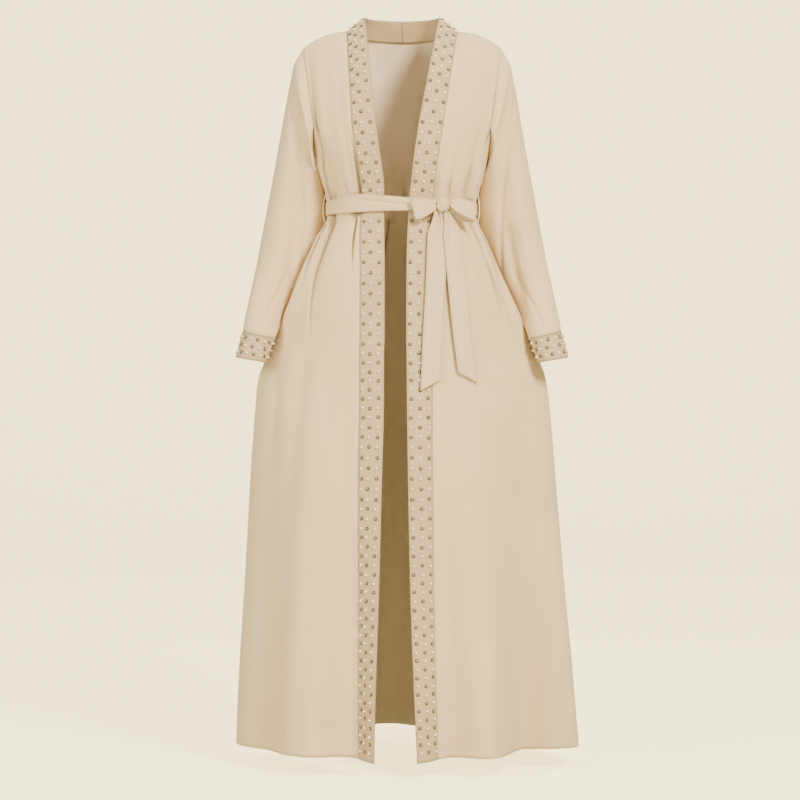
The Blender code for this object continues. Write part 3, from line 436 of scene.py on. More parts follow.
def ring(z, degrees, folds=(), creases=()):
    """Points of the body's outer surface at height z, at an array of angles from the front."""
    row = level(z)
    turn = np.radians(degrees)
    x = row.shift + row.half_width * np.sin(turn)
    ahead = np.cos(turn) > 0
    depth = np.where(ahead, -(row.front + row.corner), row.back - row.corner)
    power = np.where(ahead, row.front_power, row.back_power)
    y = row.corner + depth * np.abs(np.cos(turn)) ** (2 / power)
    along_x, along_y = np.gradient(x), np.gradient(y)
    size = np.hypot(along_x, along_y) * np.sign(degrees[-1] - degrees[0])
    out = fold_depth(folds, z, degrees) + crease_depth(creases, z, degrees)[0]
    if z > UNDERARM_Z - 1e-6:
        if ahead.all():
            reach = armhole_angle(z, "front") - np.abs(degrees)
        else:
            reach = 180 - np.abs(degrees - 180) - armhole_angle(z, "back")
        out = out * eased(np.abs(reach) / ARMHOLE_CALM)
    x, y = x + out * along_y / size, y - out * along_x / size
    return np.stack([x, y, np.full_like(x, z)], axis=1)


def lengths(points):
    """The distance along a row of points, from its first point to each."""
    return np.concatenate([[0], np.cumsum(np.linalg.norm(np.diff(points, axis=0), axis=1))])


def read(points, along, at):
    return np.stack([np.interp(at, along, points[:, k]) for k in range(3)], axis=1)


print("half width at the waist:", round(float(level(BELT_Z).half_width), 3))

# %% [markdown]
# ## Sheets from grids
#
# Every cloth piece starts as Blender's own grid, whose vertices are then moved to their places on
# the cloth. A grid keeps its rows and columns, so a UV map in real metres can be laid on it, and
# the weave keeps one size everywhere. Solidify gives the sheet its thickness on the inside.

# %% Rows of the body
SKIRT_ROWS, WAIST_ROWS, CHEST_ROWS, YOKE_ROWS = 100, 90, 14, 46
BAND_COLUMNS, FRONT_COLUMNS, SHOULDER_COLUMNS, NECK_COLUMNS = 12, 130, 38, 40
CREASED_Z = -0.640
heights = np.concatenate([
    np.linspace(HEM_Z, CREASED_Z, SKIRT_ROWS + 1),
    np.linspace(CREASED_Z, UNDERARM_Z, WAIST_ROWS + 1)[1:],
    np.linspace(UNDERARM_Z, CHEST_Z, CHEST_ROWS + 1)[1:],
])  # fmt: skip
yoke_shares = np.linspace(1, 0, YOKE_ROWS + 1)[1:]


def front_row(z, side):
    """One row of a front, open edge to side: the points of its band and those of its panel."""
    row = level(z)
    edge = row.edge_left if side > 0 else -row.edge_right
    first = math.degrees(math.asin((edge - side * row.shift) / row.half_width))
    degrees = side * np.linspace(first, armhole_angle(z, "front"), FINE)
    points = ring(z, degrees, FRONT_FOLDS, FRONT_CREASES)
    near_hem = eased((HEM_Z + CORNER_RISE - z) / CORNER_RISE)
    points[:, 2] -= CORNER_DROP * near_hem * hump(np.abs(degrees) - abs(first), CORNER_SPREAD)
    along = lengths(points)
    band = read(points, along, np.linspace(0, BAND_WIDTH, BAND_COLUMNS + 1))
    panel = read(points, along, np.linspace(BAND_WIDTH, along[-1], FRONT_COLUMNS + 1))
    return band, panel


def back_row(z):
    """One row of the back, from the wearer's left to the right."""
    first = armhole_angle(z, "back")
    halves = []
    for degrees in (np.linspace(first, 180, FINE), np.linspace(180, 360 - first, FINE)):
        points = ring(z, degrees, BACK_FOLDS, BACK_CREASES)
        along = lengths(points)
        at = np.linspace(0, along[-1], SHOULDER_COLUMNS + NECK_COLUMNS + 1)
        halves.append(read(points, along, at))
    return np.concatenate([halves[0], halves[1][1:]])


def shoulder_points(count):
    x = np.linspace(NECK_SEAM_X, SHOULDER[-1].x, count + 1)
    return np.stack([x, np.zeros_like(x), *read_table(SHOULDER, x)], axis=1)


def neck_points():
    turn = np.linspace(0, math.pi / 2, NECK_COLUMNS + 1)
    ahead, up = np.cos(turn), np.sin(turn)
    return np.stack([NECK_SEAM_X * ahead, NAPE_Y * up, NAPE_Z * up], axis=1)


def mirrored(points):
    return (points * [-1, 1, 1])[..., ::-1, :]


def yoke(chest, top, slope):
    """Rows that rise upright from the chest's row and round over the shoulder to its seam."""
    rows = []
    for share in yoke_shares:
        point = part_way(top, chest, share)
        point[:, 1] = part_way(top[:, 1], chest[:, 1], (1 - (1 - share) ** 2) ** slope)
        rows.append(point)
    return rows


def neck_band(front_part, side):
    turn = np.linspace(0, math.pi / 2, NECK_COLUMNS + 1)
    side_on, up = np.cos(turn), np.sin(turn)
    top = [TIP_X * side_on, NAPE_TOP_Y * up, part_way(TIP_Z, NAPE_TOP_Z, up)]
    top = np.stack(top, axis=1)
    across = np.linspace(0, 1, BAND_COLUMNS + 1)[None, :, None]
    strip = part_way(top[1:, None], neck_points()[1:, None], across)
    return np.concatenate([front_part, strip if side > 0 else mirrored(strip)])


def body_grids():
    """Grids of the bands, the fronts and the back: rows from the hem up, columns anticlockwise."""
    grids = {}
    for side, name in SIDES:
        pairs = [front_row(z, side) for z in heights]
        band, panel = (np.array([pair[i] for pair in pairs]) for i in (0, 1))
        tip = np.array([TIP_X, 0, TIP_Z])
        across = np.linspace(0, 1, BAND_COLUMNS + 1)[:, None]
        band_top = part_way(tip, np.array([NECK_SEAM_X, 0, 0]), across)
        flip = np.array([side, 1, 1])
        band = np.concatenate([band, yoke(band[-1], band_top * flip, SHOULDER_ROUND)])
        top = shoulder_points(FRONT_COLUMNS) * flip
        panel = np.concatenate([panel, yoke(panel[-1], top, SHOULDER_ROUND)])
        if side < 0:
            band, panel = band[:, ::-1], panel[:, ::-1]
        grids["band_" + name] = neck_band(band, side)
        grids["front_" + name] = panel
    half = np.concatenate([shoulder_points(SHOULDER_COLUMNS)[::-1], neck_points()[1:]])
    top = np.concatenate([half, mirrored(half)[1:]])
    rows = np.array([back_row(z) for z in heights])
    slope = np.interp(np.abs(top[:, 0]), [0, NECK_SEAM_X, 0.13], [NAPE_ROUND, 0.8, SHOULDER_ROUND])
    grids["back"] = np.concatenate([rows, yoke(rows[-1], top, slope)])
    return grids


def crease_shade_of(grid, creases):
    """The painted shade of each point of a front or back, from 0 to 1, by how deep in a crease it
    lies.
    """
    made = np.zeros(grid.shape[:2])
    for number, z in enumerate(heights):
        row, points = level(z), grid[number]
        ahead = points[:, 1] < row.corner
        depth = np.where(ahead, row.front + row.corner, row.back - row.corner)
        power = np.where(ahead, row.front_power, row.back_power)
        cosine = (np.abs(points[:, 1] - row.corner) / depth) ** (power / 2) * np.where(ahead, 1, -1)
        degrees = np.degrees(np.arctan2((points[:, 0] - row.shift) / row.half_width, cosine))
        if creases is BACK_CREASES:
            degrees = degrees % 360
        made[number] = crease_depth(creases, z, degrees)[1]
    last = made[len(heights) - 1]
    for number, share in enumerate(yoke_shares, len(heights)):
        made[number] = last * share**3
    return made


grids = body_grids()
for name, grid in grids.items():
    print(f"{name}: {grid.shape[0]} rows of {grid.shape[1]} points")


# %% [markdown]
# ## Cloth from a grid
#
# Blender's grid is made flat, and each vertex is then lifted to its place. The UV map holds the
# distance along the cloth in metres, across and up, so a weave or a stitch keeps one size. The
# little extra waves come from smooth noise read at each point, so that neighbouring pieces, which
# read the same noise, still meet at their seams.

# %% Sheets
WAVE = 0.0011


def normals_of(grid, closed=False):
    if closed:
        wide = np.concatenate([grid[:, -1:], grid, grid[:, :1]], axis=1)
        along = np.gradient(wide, axis=1)[:, 1:-1]
    else:
        along = np.gradient(grid, axis=1)
    normals = np.cross(along, np.gradient(grid, axis=0))
    return normals / np.linalg.norm(normals, axis=-1, keepdims=True)


def flat_map(grid):
    """Distance in metres across and up a grid, for its UV map."""
    across = np.zeros(grid.shape[:2])
    across[:, 1:] = np.cumsum(np.linalg.norm(np.diff(grid, axis=1), axis=2), axis=1)
    up = np.zeros(grid.shape[:2])
    up[1:] = np.cumsum(np.linalg.norm(np.diff(grid, axis=0), axis=2), axis=0)
    return np.stack([across, up], axis=2)


def waved(grid, normals, size):
    """The grid with soft uneven waves, about size metres deep."""
    made = grid.copy()
    for index in np.ndindex(grid.shape[:2]):
        x, y, z = grid[index]
        slow = noise.noise((x * 14, y * 14, z * 5))
        quick = noise.noise((x * 34 + 7, y * 34, z * 15))
        made[index] += normals[index] * size * (slow + 0.45 * quick)
    return made


def sheet(name, grid, thickness, closed=False, cut=None, turned=False, shade_mask=None):
    """A piece of cloth on this grid of points. cut is its flat map, if not the grid's own, and
    turned swaps its directions, for a strip that runs across the grid. The last argument is the
    painted shade of each point, by how deep in a crease it lies, kept on the mesh for the material."""
    cut = flat_map(grid) if cut is None else cut
    shade_mask = np.zeros(grid.shape[:2]) if shade_mask is None else shade_mask
    if closed:
        shade_mask = np.concatenate([shade_mask, shade_mask[:, :1]], axis=1)
        grid = np.concatenate([grid, grid[:, :1]], axis=1)
        step = np.linalg.norm(grid[:, -1] - grid[:, -2], axis=1)
        last = np.stack([cut[:, -1, 0] + step, cut[:, -1, 1]], axis=1)
        cut = np.concatenate([cut, last[:, None]], axis=1)
    rows, columns = grid.shape[:2]
    mesh = bmesh.new()
    # besides its UV map, the mesh keeps a painted shade value at each vertex, for the creases
    layer, depth = mesh.loops.layers.uv.new("cloth"), mesh.verts.layers.float.new("hollow")
    made = bmesh.ops.create_grid(mesh, x_segments=columns - 1, y_segments=rows - 1, size=1)["verts"]
    places = {}
    values = grid.reshape(-1, 3), cut.reshape(-1, 2), shade_mask.reshape(-1)
    for vertex, point, flat, shade_share in zip(made, *values, strict=True):
        vertex.co = point
        vertex[depth] = shade_share
        places[vertex] = flat[::-1] if turned else flat
    for face in mesh.faces:
        for corner in face.loops:
            corner[layer].uv = places[corner.vert]
    bmesh.ops.remove_doubles(mesh, verts=mesh.verts, dist=1e-6)
    made = placed(name + "_cloth", finished(name, mesh))
    wall = made.modifiers.new("thickness", "SOLIDIFY")
    wall.thickness, wall.offset, wall.use_even_offset = thickness, -1, False
    wall.material_offset = 1
    return made


# %% [markdown]
# ## The body
#
# Each body piece dips a little along its sewn edges, as cloth does where the seam behind pulls it
# in. The bands are two layers with a firm lining between, so they are thicker and stay smooth.

# %% Body pieces
CLOTH, TRIM = 0.0012, 0.0030
DIP, DIP_WIDTH = 0.0012, 0.004


def dipped(grid, normals, sides):
    """The grid pressed in along its sewn edges. sides names them: first, last, top, bottom."""
    cut = flat_map(grid)
    across, up = cut[..., 0], cut[..., 1]
    away = {
        "first": across,
        "last": across[:, -1:] - across,
        "bottom": up,
        "top": up[-1:] - up,
    }
    depth = np.zeros(grid.shape[:2])
    for side in sides:
        depth = np.maximum(depth, hump(away[side], DIP_WIDTH))
    return grid - normals * (DIP * depth)[..., None]


SEAMS = {
    "back": ("first", "last", "top"),
    "front_left": ("first", "last", "top"),
    "front_right": ("first", "last", "top"),
    "band_left": ("last", "top"),
    "band_right": ("first", "top"),
}
pieces = {}
for name, sides in SEAMS.items():
    grid = grids[name]
    normals = normals_of(grid)
    banded = name.startswith("band")
    shade_share = None
    if not banded:
        # how much painted shade each point gets, deep in the creases
        shade_share = crease_shade_of(grid, BACK_CREASES if name == "back" else FRONT_CREASES)
        grid = waved(grid, normals, WAVE)
    cut = flat_map(grid)
    if banded:
        cut[..., 0] = np.linspace(0, BAND_WIDTH, BAND_COLUMNS + 1)
    grid = dipped(grid, normals, sides)
    grids[name] = grid
    pieces[name] = sheet(name, grid, TRIM if banded else CLOTH, cut=cut, shade_mask=shade_share)
print("body pieces:", len(pieces))

# %% [markdown]
# ## The sleeves and cuffs
#
# A sleeve is a tube of ovals. Its first ring is the armhole itself, and the ovals take over from
# it little by little down the arm. Long grooves run from the armhole to the cuff.

# %% Sleeve sizes
Ring = namedtuple("Ring", "outer_x outer_y outer_z inner_x inner_y inner_z half_depth")
SLEEVE = [
    Ring(0.2155, 0.006, -0.062, 0.1715, 0.010, -0.298, 0.072),
    Ring(0.2240, 0.010, -0.100, 0.1560, 0.048, -0.322, 0.075),
    Ring(0.2335, 0.015, -0.150, 0.1450, 0.060, -0.350, 0.074),
    Ring(0.2450, 0.022, -0.212, 0.1440, 0.060, -0.381, 0.069),
    Ring(0.2585, 0.030, -0.285, 0.1580, 0.052, -0.417, 0.063),
    Ring(0.2740, 0.034, -0.367, 0.1815, 0.040, -0.459, 0.057),
    Ring(0.2895, 0.028, -0.450, 0.2060, 0.028, -0.507, 0.051),
    Ring(0.3045, 0.002, -0.528, 0.2345, 0.008, -0.563, 0.045),
    Ring(0.3165, -0.036, -0.601, 0.2524, -0.036, -0.616, 0.038),
]
CUFF_END = Ring(0.3295, -0.048, -0.6535, 0.2690, -0.048, -0.6645, 0.0365)
Groove = namedtuple(
    "Groove", "start end angle_start angle_end width_start width_end depth_start depth_end"
)
SLEEVE_FOLDS = [
    Groove(0.6, 8.4, 322, 222, 16, 17, -0.003, -0.013),
    Groove(1.5, 8.0, 345, 262, 20, 20, 0.001, 0.004),
    Groove(1.0, 6.5, 400, 452, 18, 20, -0.004, -0.009),
    Groove(3.0, 7.5, 500, 492, 16, 18, -0.005, -0.006),
    Groove(2.0, 6.9, 345, 200, 7, 6, -0.003, -0.007),
    Groove(2.2, 7.6, 300, 262, 7, 6, 0.001, -0.003),
    Groove(6.6, 8.9, 232, 268, 7, 7, -0.003, -0.004),
    Groove(1.6, 6.0, 412, 470, 7, 6, -0.002, -0.005),
]
SLEEVE_ROWS, CUFF_ROWS = 118, 12
ARMHOLE_Y, ARMHOLE_HALF_DEPTH = 0.004, 0.062
SOFTENINGS = 12  # how often the armhole's shape is averaged with its neighbours
ROUGH_RINGS, ARMHOLE_RINGS = 0.8, 3.2  # where the armhole's exact and softened shapes end
ARMHOLE_FADE = 1.5
GROOVE_FADE = 5  # one over the share of a groove's length that it fades in


# %% Sleeve shape
def inside(share, rate):
    """1 along the middle of a fold, falling softly to 0 at both its ends."""
    return eased(share * rate) * eased((1 - share) * rate)


def groove_depth(number, degrees):
    total = np.zeros_like(degrees)
    for groove in SLEEVE_FOLDS:
        share = (number - groove.start) / (groove.end - groove.start)
        if not 0 <= share <= 1:
            continue
        depth = part_way(groove.depth_start, groove.depth_end, share)
        depth *= inside(share, GROOVE_FADE)
        angle = part_way(groove.angle_start, groove.angle_end, share)
        width = part_way(groove.width_start, groove.width_end, share)
        total += depth * hump(degrees - angle, width)
    return total


def oval(row, degrees, number=None):
    """Points round one ring of the left sleeve."""
    outer = np.array([row.outer_x, row.outer_y, row.outer_z])
    inner = np.array([row.inner_x, row.inner_y, row.inner_z])
    turn = np.radians(degrees)[:, None]
    spoke = np.cos(turn) * (outer - inner) / 2 + np.sin(turn) * np.array([0, row.half_depth, 0])
    if number is not None:
        radius = np.linalg.norm(spoke, axis=1, keepdims=True)
        spoke = spoke * (1 + groove_depth(number, degrees)[:, None] / radius)
    return (outer + inner) / 2 + spoke


def armhole_loop():
    """The left armhole's edge from the underarm up the front and down the back, and its angles."""
    first = int(np.argmin(np.abs(heights - UNDERARM_Z)))
    up, down = grids["front_left"][first:, -1], grids["back"][first:, 0][::-1]
    angles = [
        start + 180 * lengths(side) / lengths(side)[-1] for side, start in ((up, 180), (down, 360))
    ]
    return np.concatenate([up, down[1:-1]]), np.concatenate([angles[0], angles[1][1:-1]])


def sleeve_grid():
    """Rows from the cuff's seam up to the armhole, columns anticlockwise from the inner arm."""
    hole, degrees = armhole_loop()
    top = int(np.argmin(np.abs(degrees - 360)))
    (outer_x, _, outer_z), (inner_x, _, inner_z) = hole[top], hole[0]
    start = Ring(
        outer_x, ARMHOLE_Y, outer_z, inner_x, ARMHOLE_Y, inner_z, ARMHOLE_HALF_DEPTH
    )  # fmt: skip
    rows = [start, *SLEEVE]
    rough = hole - oval(start, degrees)
    soft = rough
    for _ in range(SOFTENINGS):
        soft = (np.roll(soft, 1, axis=0) + 2 * soft + np.roll(soft, -1, axis=0)) / 4
    made = []
    for number in np.linspace(0, len(SLEEVE), SLEEVE_ROWS + 1):
        columns = (smooth(number, range(len(rows)), column) for column in zip(*rows, strict=True))
        left_over = part_way(soft, rough, float(1 - eased(number / ROUGH_RINGS)))
        share = max(0.0, 1 - number / ARMHOLE_RINGS) ** ARMHOLE_FADE
        made.append(oval(Ring(*columns), degrees, number) + left_over * share)
    return np.array(made[::-1]), degrees


sleeve, sleeve_degrees = sleeve_grid()
sleeve_normals = normals_of(sleeve, closed=True)
cuff_share = np.linspace(0, 1, CUFF_ROWS + 1)[:, None, None]
cuff_top, cuff_end = oval(SLEEVE[-1], sleeve_degrees), oval(CUFF_END, sleeve_degrees)
cuff = part_way(cuff_end, cuff_top, cuff_share)
cuff_normals = normals_of(cuff, closed=True)
for side, name in SIDES:
    flip = np.array([side, 1, 1])
    order = slice(None, None, side)
    arm, arm_normals = (sleeve * flip)[:, order], (sleeve_normals * flip)[:, order]
    wrist, wrist_normals = (cuff * flip)[:, order], (cuff_normals * flip)[:, order]
    arm = dipped(waved(arm, arm_normals, WAVE), arm_normals, ("top", "bottom"))
    grids["sleeve_" + name], grids["cuff_" + name] = arm, wrist
    pieces["sleeve_" + name] = sheet("sleeve_" + name, arm, CLOTH, closed=True)
    pieces["cuff_" + name] = sheet(
        "cuff_" + name, dipped(wrist, wrist_normals, ("top",)), TRIM, closed=True, turned=True
    )
print("sleeve:", sleeve.shape[0], "rings of", sleeve.shape[1], "points")

# %% [markdown]
# ## The sash and its bow
#
# The sash lies over the gathered cloth and crosses the open front. It is tied on the wearer's
# left: a small wrapped knot, two loops and two hanging ends, cut on a slant.

# %% Sash
SASH_CLEARANCE, SASH_CLOTH, SASH_WIDTH = 0.0011, 0.0018, 0.040
SASH_ROOM = 0.002  # for the sash's own cloth, which is laid on the inside of its grid
SASH_LIFT = 0.0016  # how far it stands off the gathers in front and behind
BELT_COLUMNS, BELT_ROWS = 260, 26
RUMPLE_FADE = 4  # one over the share of a rumple's length that it fades in

Strap = namedtuple("Strap", "angle top bottom")
STRAPS = [
    Strap(-90, -0.3475, -0.3705),
    Strap(-60, -0.3400, -0.3715),
    Strap(-36, -0.3345, -0.3705),
    Strap(-14, -0.3385, -0.3692),
    Strap(6, -0.3425, -0.3685),
    Strap(25, -0.3435, -0.3690),
    Strap(50, -0.3430, -0.3700),
    Strap(90, -0.3460, -0.3715),
    Strap(130, -0.3415, -0.3725),
    Strap(180, -0.3375, -0.3730),
    Strap(225, -0.3410, -0.3725),
    Strap(270, -0.3475, -0.3705),
]
Rumple = namedtuple("Rumple", "start end share_start share_end depth width")
SASH_RUMPLES = [
    Rumple(-34, 9, 0.66, 0.44, -0.0026, 0.07),
    Rumple(-92, -40, 0.78, 0.42, -0.0016, 0.10),
    Rumple(-70, -12, 0.30, 0.24, -0.0012, 0.09),
    Rumple(-44, 4, 0.90, 0.76, 0.0012, 0.08),
    Rumple(88, 150, 0.62, 0.40, -0.0020, 0.09),
    Rumple(120, 205, 0.28, 0.55, -0.0018, 0.10),
    Rumple(170, 262, 0.76, 0.50, -0.0020, 0.09),
]


def belt():
    degrees = np.linspace(-90, 270, BELT_COLUMNS + 1)[:-1]
    top, bottom = read_table(STRAPS, degrees)
    shares = np.linspace(0, 1, BELT_ROWS + 1)
    shell = np.array([ring(BELT_Z, np.append(degrees, 270))[:-1] for _ in shares])
    shell[..., 2] = bottom + (top - bottom) * shares[:, None]
    lift = SASH_LIFT * np.abs(np.cos(np.radians(degrees)))  # none beside the sleeves
    out = np.tile(SASH_CLEARANCE + SASH_ROOM + lift, (len(shares), 1))
    for rumple in SASH_RUMPLES:
        along = (degrees - rumple.start) / (rumple.end - rumple.start)
        line = part_way(rumple.share_start, rumple.share_end, along)
        strength = inside(along, RUMPLE_FADE) * rumple.depth
        out += strength * hump(shares[:, None] - line, rumple.width)
    return shell + normals_of(shell, closed=True) * out[..., None]


def strip_map(grid):
    """The flat map of a stretch of the sash that runs across its grid's columns."""
    cut = flat_map(grid)
    cut[..., 1] = np.linspace(0, SASH_WIDTH, grid.shape[0])[:, None]
    return cut


belt_grid = belt()
pieces["sash"] = sheet(
    "sash", belt_grid, SASH_CLOTH, closed=True, cut=strip_map(belt_grid), turned=True
)

# %% Knot
KNOT = (0.0797, -0.1135, -0.3570)
KNOT_HALF = (0.0125, 0.0105, 0.0140)
KNOT_POWER = 2.6
Wrap = namedtuple("Wrap", "place width depth")
WRAPS = [Wrap(-0.60, 0.15, 0.12), Wrap(-0.08, 0.13, 0.15), Wrap(0.42, 0.15, 0.11)]


def knot():
    """A rounded block of cloth with a few turns wrapped slantwise round it."""
    mesh = bmesh.new()
    bmesh.ops.create_uvsphere(mesh, u_segments=96, v_segments=64, radius=1)
    for vertex in mesh.verts:
        vertex.co /= sum(abs(part) ** KNOT_POWER for part in vertex.co) ** (1 / KNOT_POWER)
        x, y, z = vertex.co
        slant = 0.78 * z + 0.52 * x + 0.18 * math.sin(2.4 * x)
        dent = sum(
            wrap.depth * math.exp(-(((slant - wrap.place) / wrap.width) ** 2)) for wrap in WRAPS
        )
        lump = 0.05 * noise.noise((2.1 * x + 3, 2.1 * y, 2.1 * z))
        vertex.co *= 1 - dent * max(0.0, 0.25 - y) ** 0.5 + lump
    bmesh.ops.scale(mesh, verts=mesh.verts, vec=KNOT_HALF)
    bmesh.ops.translate(mesh, verts=mesh.verts, vec=KNOT)
    return placed("bow_knot_cloth", finished("bow_knot", mesh))


pieces["bow_knot"] = knot()

# %% Loops
LOOP_CLOTH, LOOP_POWER = 0.0012, 0.7
LOOP_COLUMNS, LOOP_ROWS = 160, 28
Loop = namedtuple("Loop", "name side reach bulge backward lean")
LOOPS = [
    Loop("bow_loop_right", -1, 0.0515, 0.0068, -0.0115, 0.0110),
    Loop("bow_loop_left", 1, 0.0475, 0.0079, 0.0200, -0.0050),
]
# Heights of the loops' edges from the middle of the knot: those of the front layer and of the
# layer behind it, from the knot to the far end.
Edge = namedtuple("Edge", "far front_top front_bottom back_top back_bottom")
EDGES = {
    "bow_loop_right": [
        Edge(0.00, 0.0085, -0.0100, 0.0070, -0.0090),
        Edge(0.25, 0.0122, -0.0172, 0.0105, -0.0150),
        Edge(0.50, 0.0136, -0.0238, 0.0120, -0.0215),
        Edge(0.75, 0.0118, -0.0290, 0.0108, -0.0275),
        Edge(1.00, 0.0086, -0.0306, 0.0086, -0.0306),
    ],
    "bow_loop_left": [
        Edge(0.00, 0.0092, -0.0010, 0.0040, -0.0112),
        Edge(0.25, 0.0138, -0.0142, 0.0090, -0.0240),
        Edge(0.50, 0.0128, -0.0206, 0.0095, -0.0312),
        Edge(0.75, 0.0104, -0.0262, 0.0085, -0.0330),
        Edge(1.00, 0.0074, -0.0310, 0.0074, -0.0310),
    ],
}
# Short creases that run out from the knot: the height share where each starts and ends, how far
# it reaches, its depth and its width.
Gather = namedtuple("Gather", "loop start end reach depth width")
GATHERS = [
    Gather("bow_loop_right", 0.58, 0.62, 0.36, 0.0034, 0.085),
    Gather("bow_loop_right", 0.26, 0.20, 0.50, 0.0016, 0.090),
    Gather("bow_loop_right", 0.84, 0.90, 0.34, 0.0014, 0.070),
    Gather("bow_loop_left", 0.40, 0.66, 0.42, 0.0030, 0.090),
    Gather("bow_loop_left", 0.74, 0.88, 0.50, 0.0018, 0.080),
]


def bow_loop(loop):
    turn = np.linspace(0, 2 * math.pi, LOOP_COLUMNS, endpoint=False)
    far = (1 - np.cos(turn)) / 2
    swell = np.sign(np.sin(turn)) * np.abs(np.sin(turn)) ** LOOP_POWER
    swell *= loop.bulge * (0.75 + 0.25 * far)
    ahead = eased((np.sin(turn) + 0.35) / 0.7)
    front_top, front_bottom, back_top, back_bottom = read_table(EDGES[loop.name], far)
    top = part_way(back_top, front_top, ahead)
    bottom = part_way(back_bottom, front_bottom, ahead)
    rows = []
    for share in np.linspace(0, 1, LOOP_ROWS + 1):
        pull = np.zeros_like(turn)
        for gather in GATHERS:
            if gather.loop == loop.name:
                line = gather.start + (gather.end - gather.start) * far / gather.reach
                strength = gather.depth * eased(1 - far / gather.reach) * ahead
                pull += strength * hump(share - line, gather.width)
        away = KNOT_HALF[0] + SEAM + loop.reach * far - loop.lean * far * (1 - share)
        x = KNOT[0] + loop.side * away
        y = KNOT[1] - swell + loop.backward * far + pull
        z = KNOT[2] + bottom + (top - bottom) * share
        rows.append(np.stack([x, y, z], axis=1))
    grid = np.array(rows)
    return grid[:, ::-1] if loop.side < 0 else grid


for loop in LOOPS:
    grid = bow_loop(loop)
    pieces[loop.name] = sheet(
        loop.name, grid, LOOP_CLOTH, closed=True, cut=strip_map(grid), turned=True
    )

# %% Tails
Tail = namedtuple("Tail", "name half_width top_half_width path end_right end_left lift")
TAILS = [
    Tail(
        "sash_tail_right", 0.0195, 0.0085,
        [(-0.3690, 0.0710), (-0.420, 0.0690), (-0.510, 0.0655), (-0.600, 0.0605), (-0.720, 0.0550)],
        -0.7205, -0.6985, 0.0050,
    ),
    Tail(
        "sash_tail_left", 0.0185, 0.0080,
        [(-0.3690, 0.0880), (-0.405, 0.0980), (-0.460, 0.1030), (-0.600, 0.1165), (-0.706, 0.1300)],
        -0.6835, -0.7050, 0.0085,
    ),
]  # fmt: skip


TAIL_COLUMNS, TAIL_ROWS = 32, 120
TAIL_SPREAD = 0.05  # how far below the knot the tails reach their full width
KNOT_STAND = 0.008  # how much further from the skirt they lie at the knot
PLEAT_FADE = 3  # one over the share of a pleat's length that it fades out in
SKIRT_VIEW = 75  # degrees of the skirt, each way from the middle, that the tails can hang on


def skirt_y(x, z):
    """How far forward the skirt is at this place, without its folds."""
    degrees = np.linspace(-SKIRT_VIEW, SKIRT_VIEW, FINE)
    points = ring(z, degrees)
    return np.interp(x, points[:, 0], points[:, 1])


# Creases down the tails from the knot: the places across, from -1 to 1, where each starts and
# ends, its length, its depth and its width.
Pleat = namedtuple("Pleat", "tail start end length depth width")
PLEATS = [
    Pleat("sash_tail_right", 0.05, 0.30, 0.060, 0.0045, 0.26),
    Pleat("sash_tail_right", -0.55, -0.50, 0.120, -0.0016, 0.30),
    Pleat("sash_tail_right", 0.45, 0.35, 0.345, 0.0012, 0.22),
    Pleat("sash_tail_left", -0.20, -0.45, 0.085, 0.0030, 0.28),
    Pleat("sash_tail_left", 0.45, 0.30, 0.140, -0.0016, 0.30),
    Pleat("sash_tail_left", 0.60, 0.55, 0.330, 0.0010, 0.24),
]


def tail_grid(tail):
    rows = []
    path_z, path_x = zip(*tail.path[::-1], strict=True)
    top = tail.path[0][0]
    across = np.linspace(-1, 1, TAIL_COLUMNS + 1)
    for share in np.linspace(0, 1, TAIL_ROWS + 1):
        bottom = tail.end_right + (tail.end_left - tail.end_right) * (across + 1) / 2
        z = part_way(top, bottom, 1 - share)
        below = eased((top - z) / TAIL_SPREAD)
        half = part_way(tail.top_half_width, tail.half_width, below)
        x = smooth(z, path_z, path_x) + across * half
        lift = tail.lift + SASH_ROOM + KNOT_STAND * (1 - below)
        y = np.array([skirt_y(*place) for place in zip(x, z, strict=True)]) - lift
        for pleat in PLEATS:
            if pleat.tail == tail.name:
                along = np.clip((top - z) / pleat.length, 0, 1)
                line = part_way(pleat.start, pleat.end, along)
                strength = pleat.depth * eased((1 - along) * PLEAT_FADE)
                y += strength * hump(across - line, pleat.width)
        rows.append(np.stack([x, y, z], axis=1))
    return np.array(rows)


for tail in TAILS:
    grid = tail_grid(tail)
    cut = flat_map(grid)
    cut[..., 0] = np.linspace(0, SASH_WIDTH, grid.shape[1])
    pieces[tail.name] = sheet(tail.name, grid, SASH_CLOTH, cut=cut)
print("sash, knot, loops and tails:", len(LOOPS) + len(TAILS) + 2, "pieces")

# %% Thread carriers
THREAD = 0.0024
CARRIER_TOP, CARRIER_LENGTH = 0.029, 0.056  # its top's height over the sash's middle
CARRIER_GAP, CARRIER_BOW, BOW_POWER = 0.0012, 0.0056, 0.6  # how it stands off the side seam
CARRIER_POINTS = 41


def carrier(name, side):
    """A chain of thread at one side seam, which the sash passes through."""
    curve = bpy.data.curves.new(name, "CURVE")
    curve.dimensions = "3D"
    curve.bevel_depth, curve.bevel_resolution, curve.use_fill_caps = THREAD / 2, 3, True
    spline = curve.splines.new("POLY")
    spline.points.add(CARRIER_POINTS - 1)
    for point, share in zip(spline.points, np.linspace(0, 1, CARRIER_POINTS), strict=True):
        z = BELT_Z + CARRIER_TOP - CARRIER_LENGTH * share
        row = level(z)
        bow = math.sin(math.pi * share) ** BOW_POWER
        out = row.half_width + THREAD / 2 + CARRIER_GAP + CARRIER_BOW * bow
        point.co = (row.shift + side * out, row.corner, z, 1)
    line = bpy.data.objects.new(name, curve)
    data = bpy.data.meshes.new_from_object(line)
    bpy.data.objects.remove(line)
    data.shade_smooth()
    return placed(name + "_thread", data)


for side, name in SIDES:
    pieces["carrier_" + name] = carrier("carrier_" + name, side)
print("thread carriers: 2")
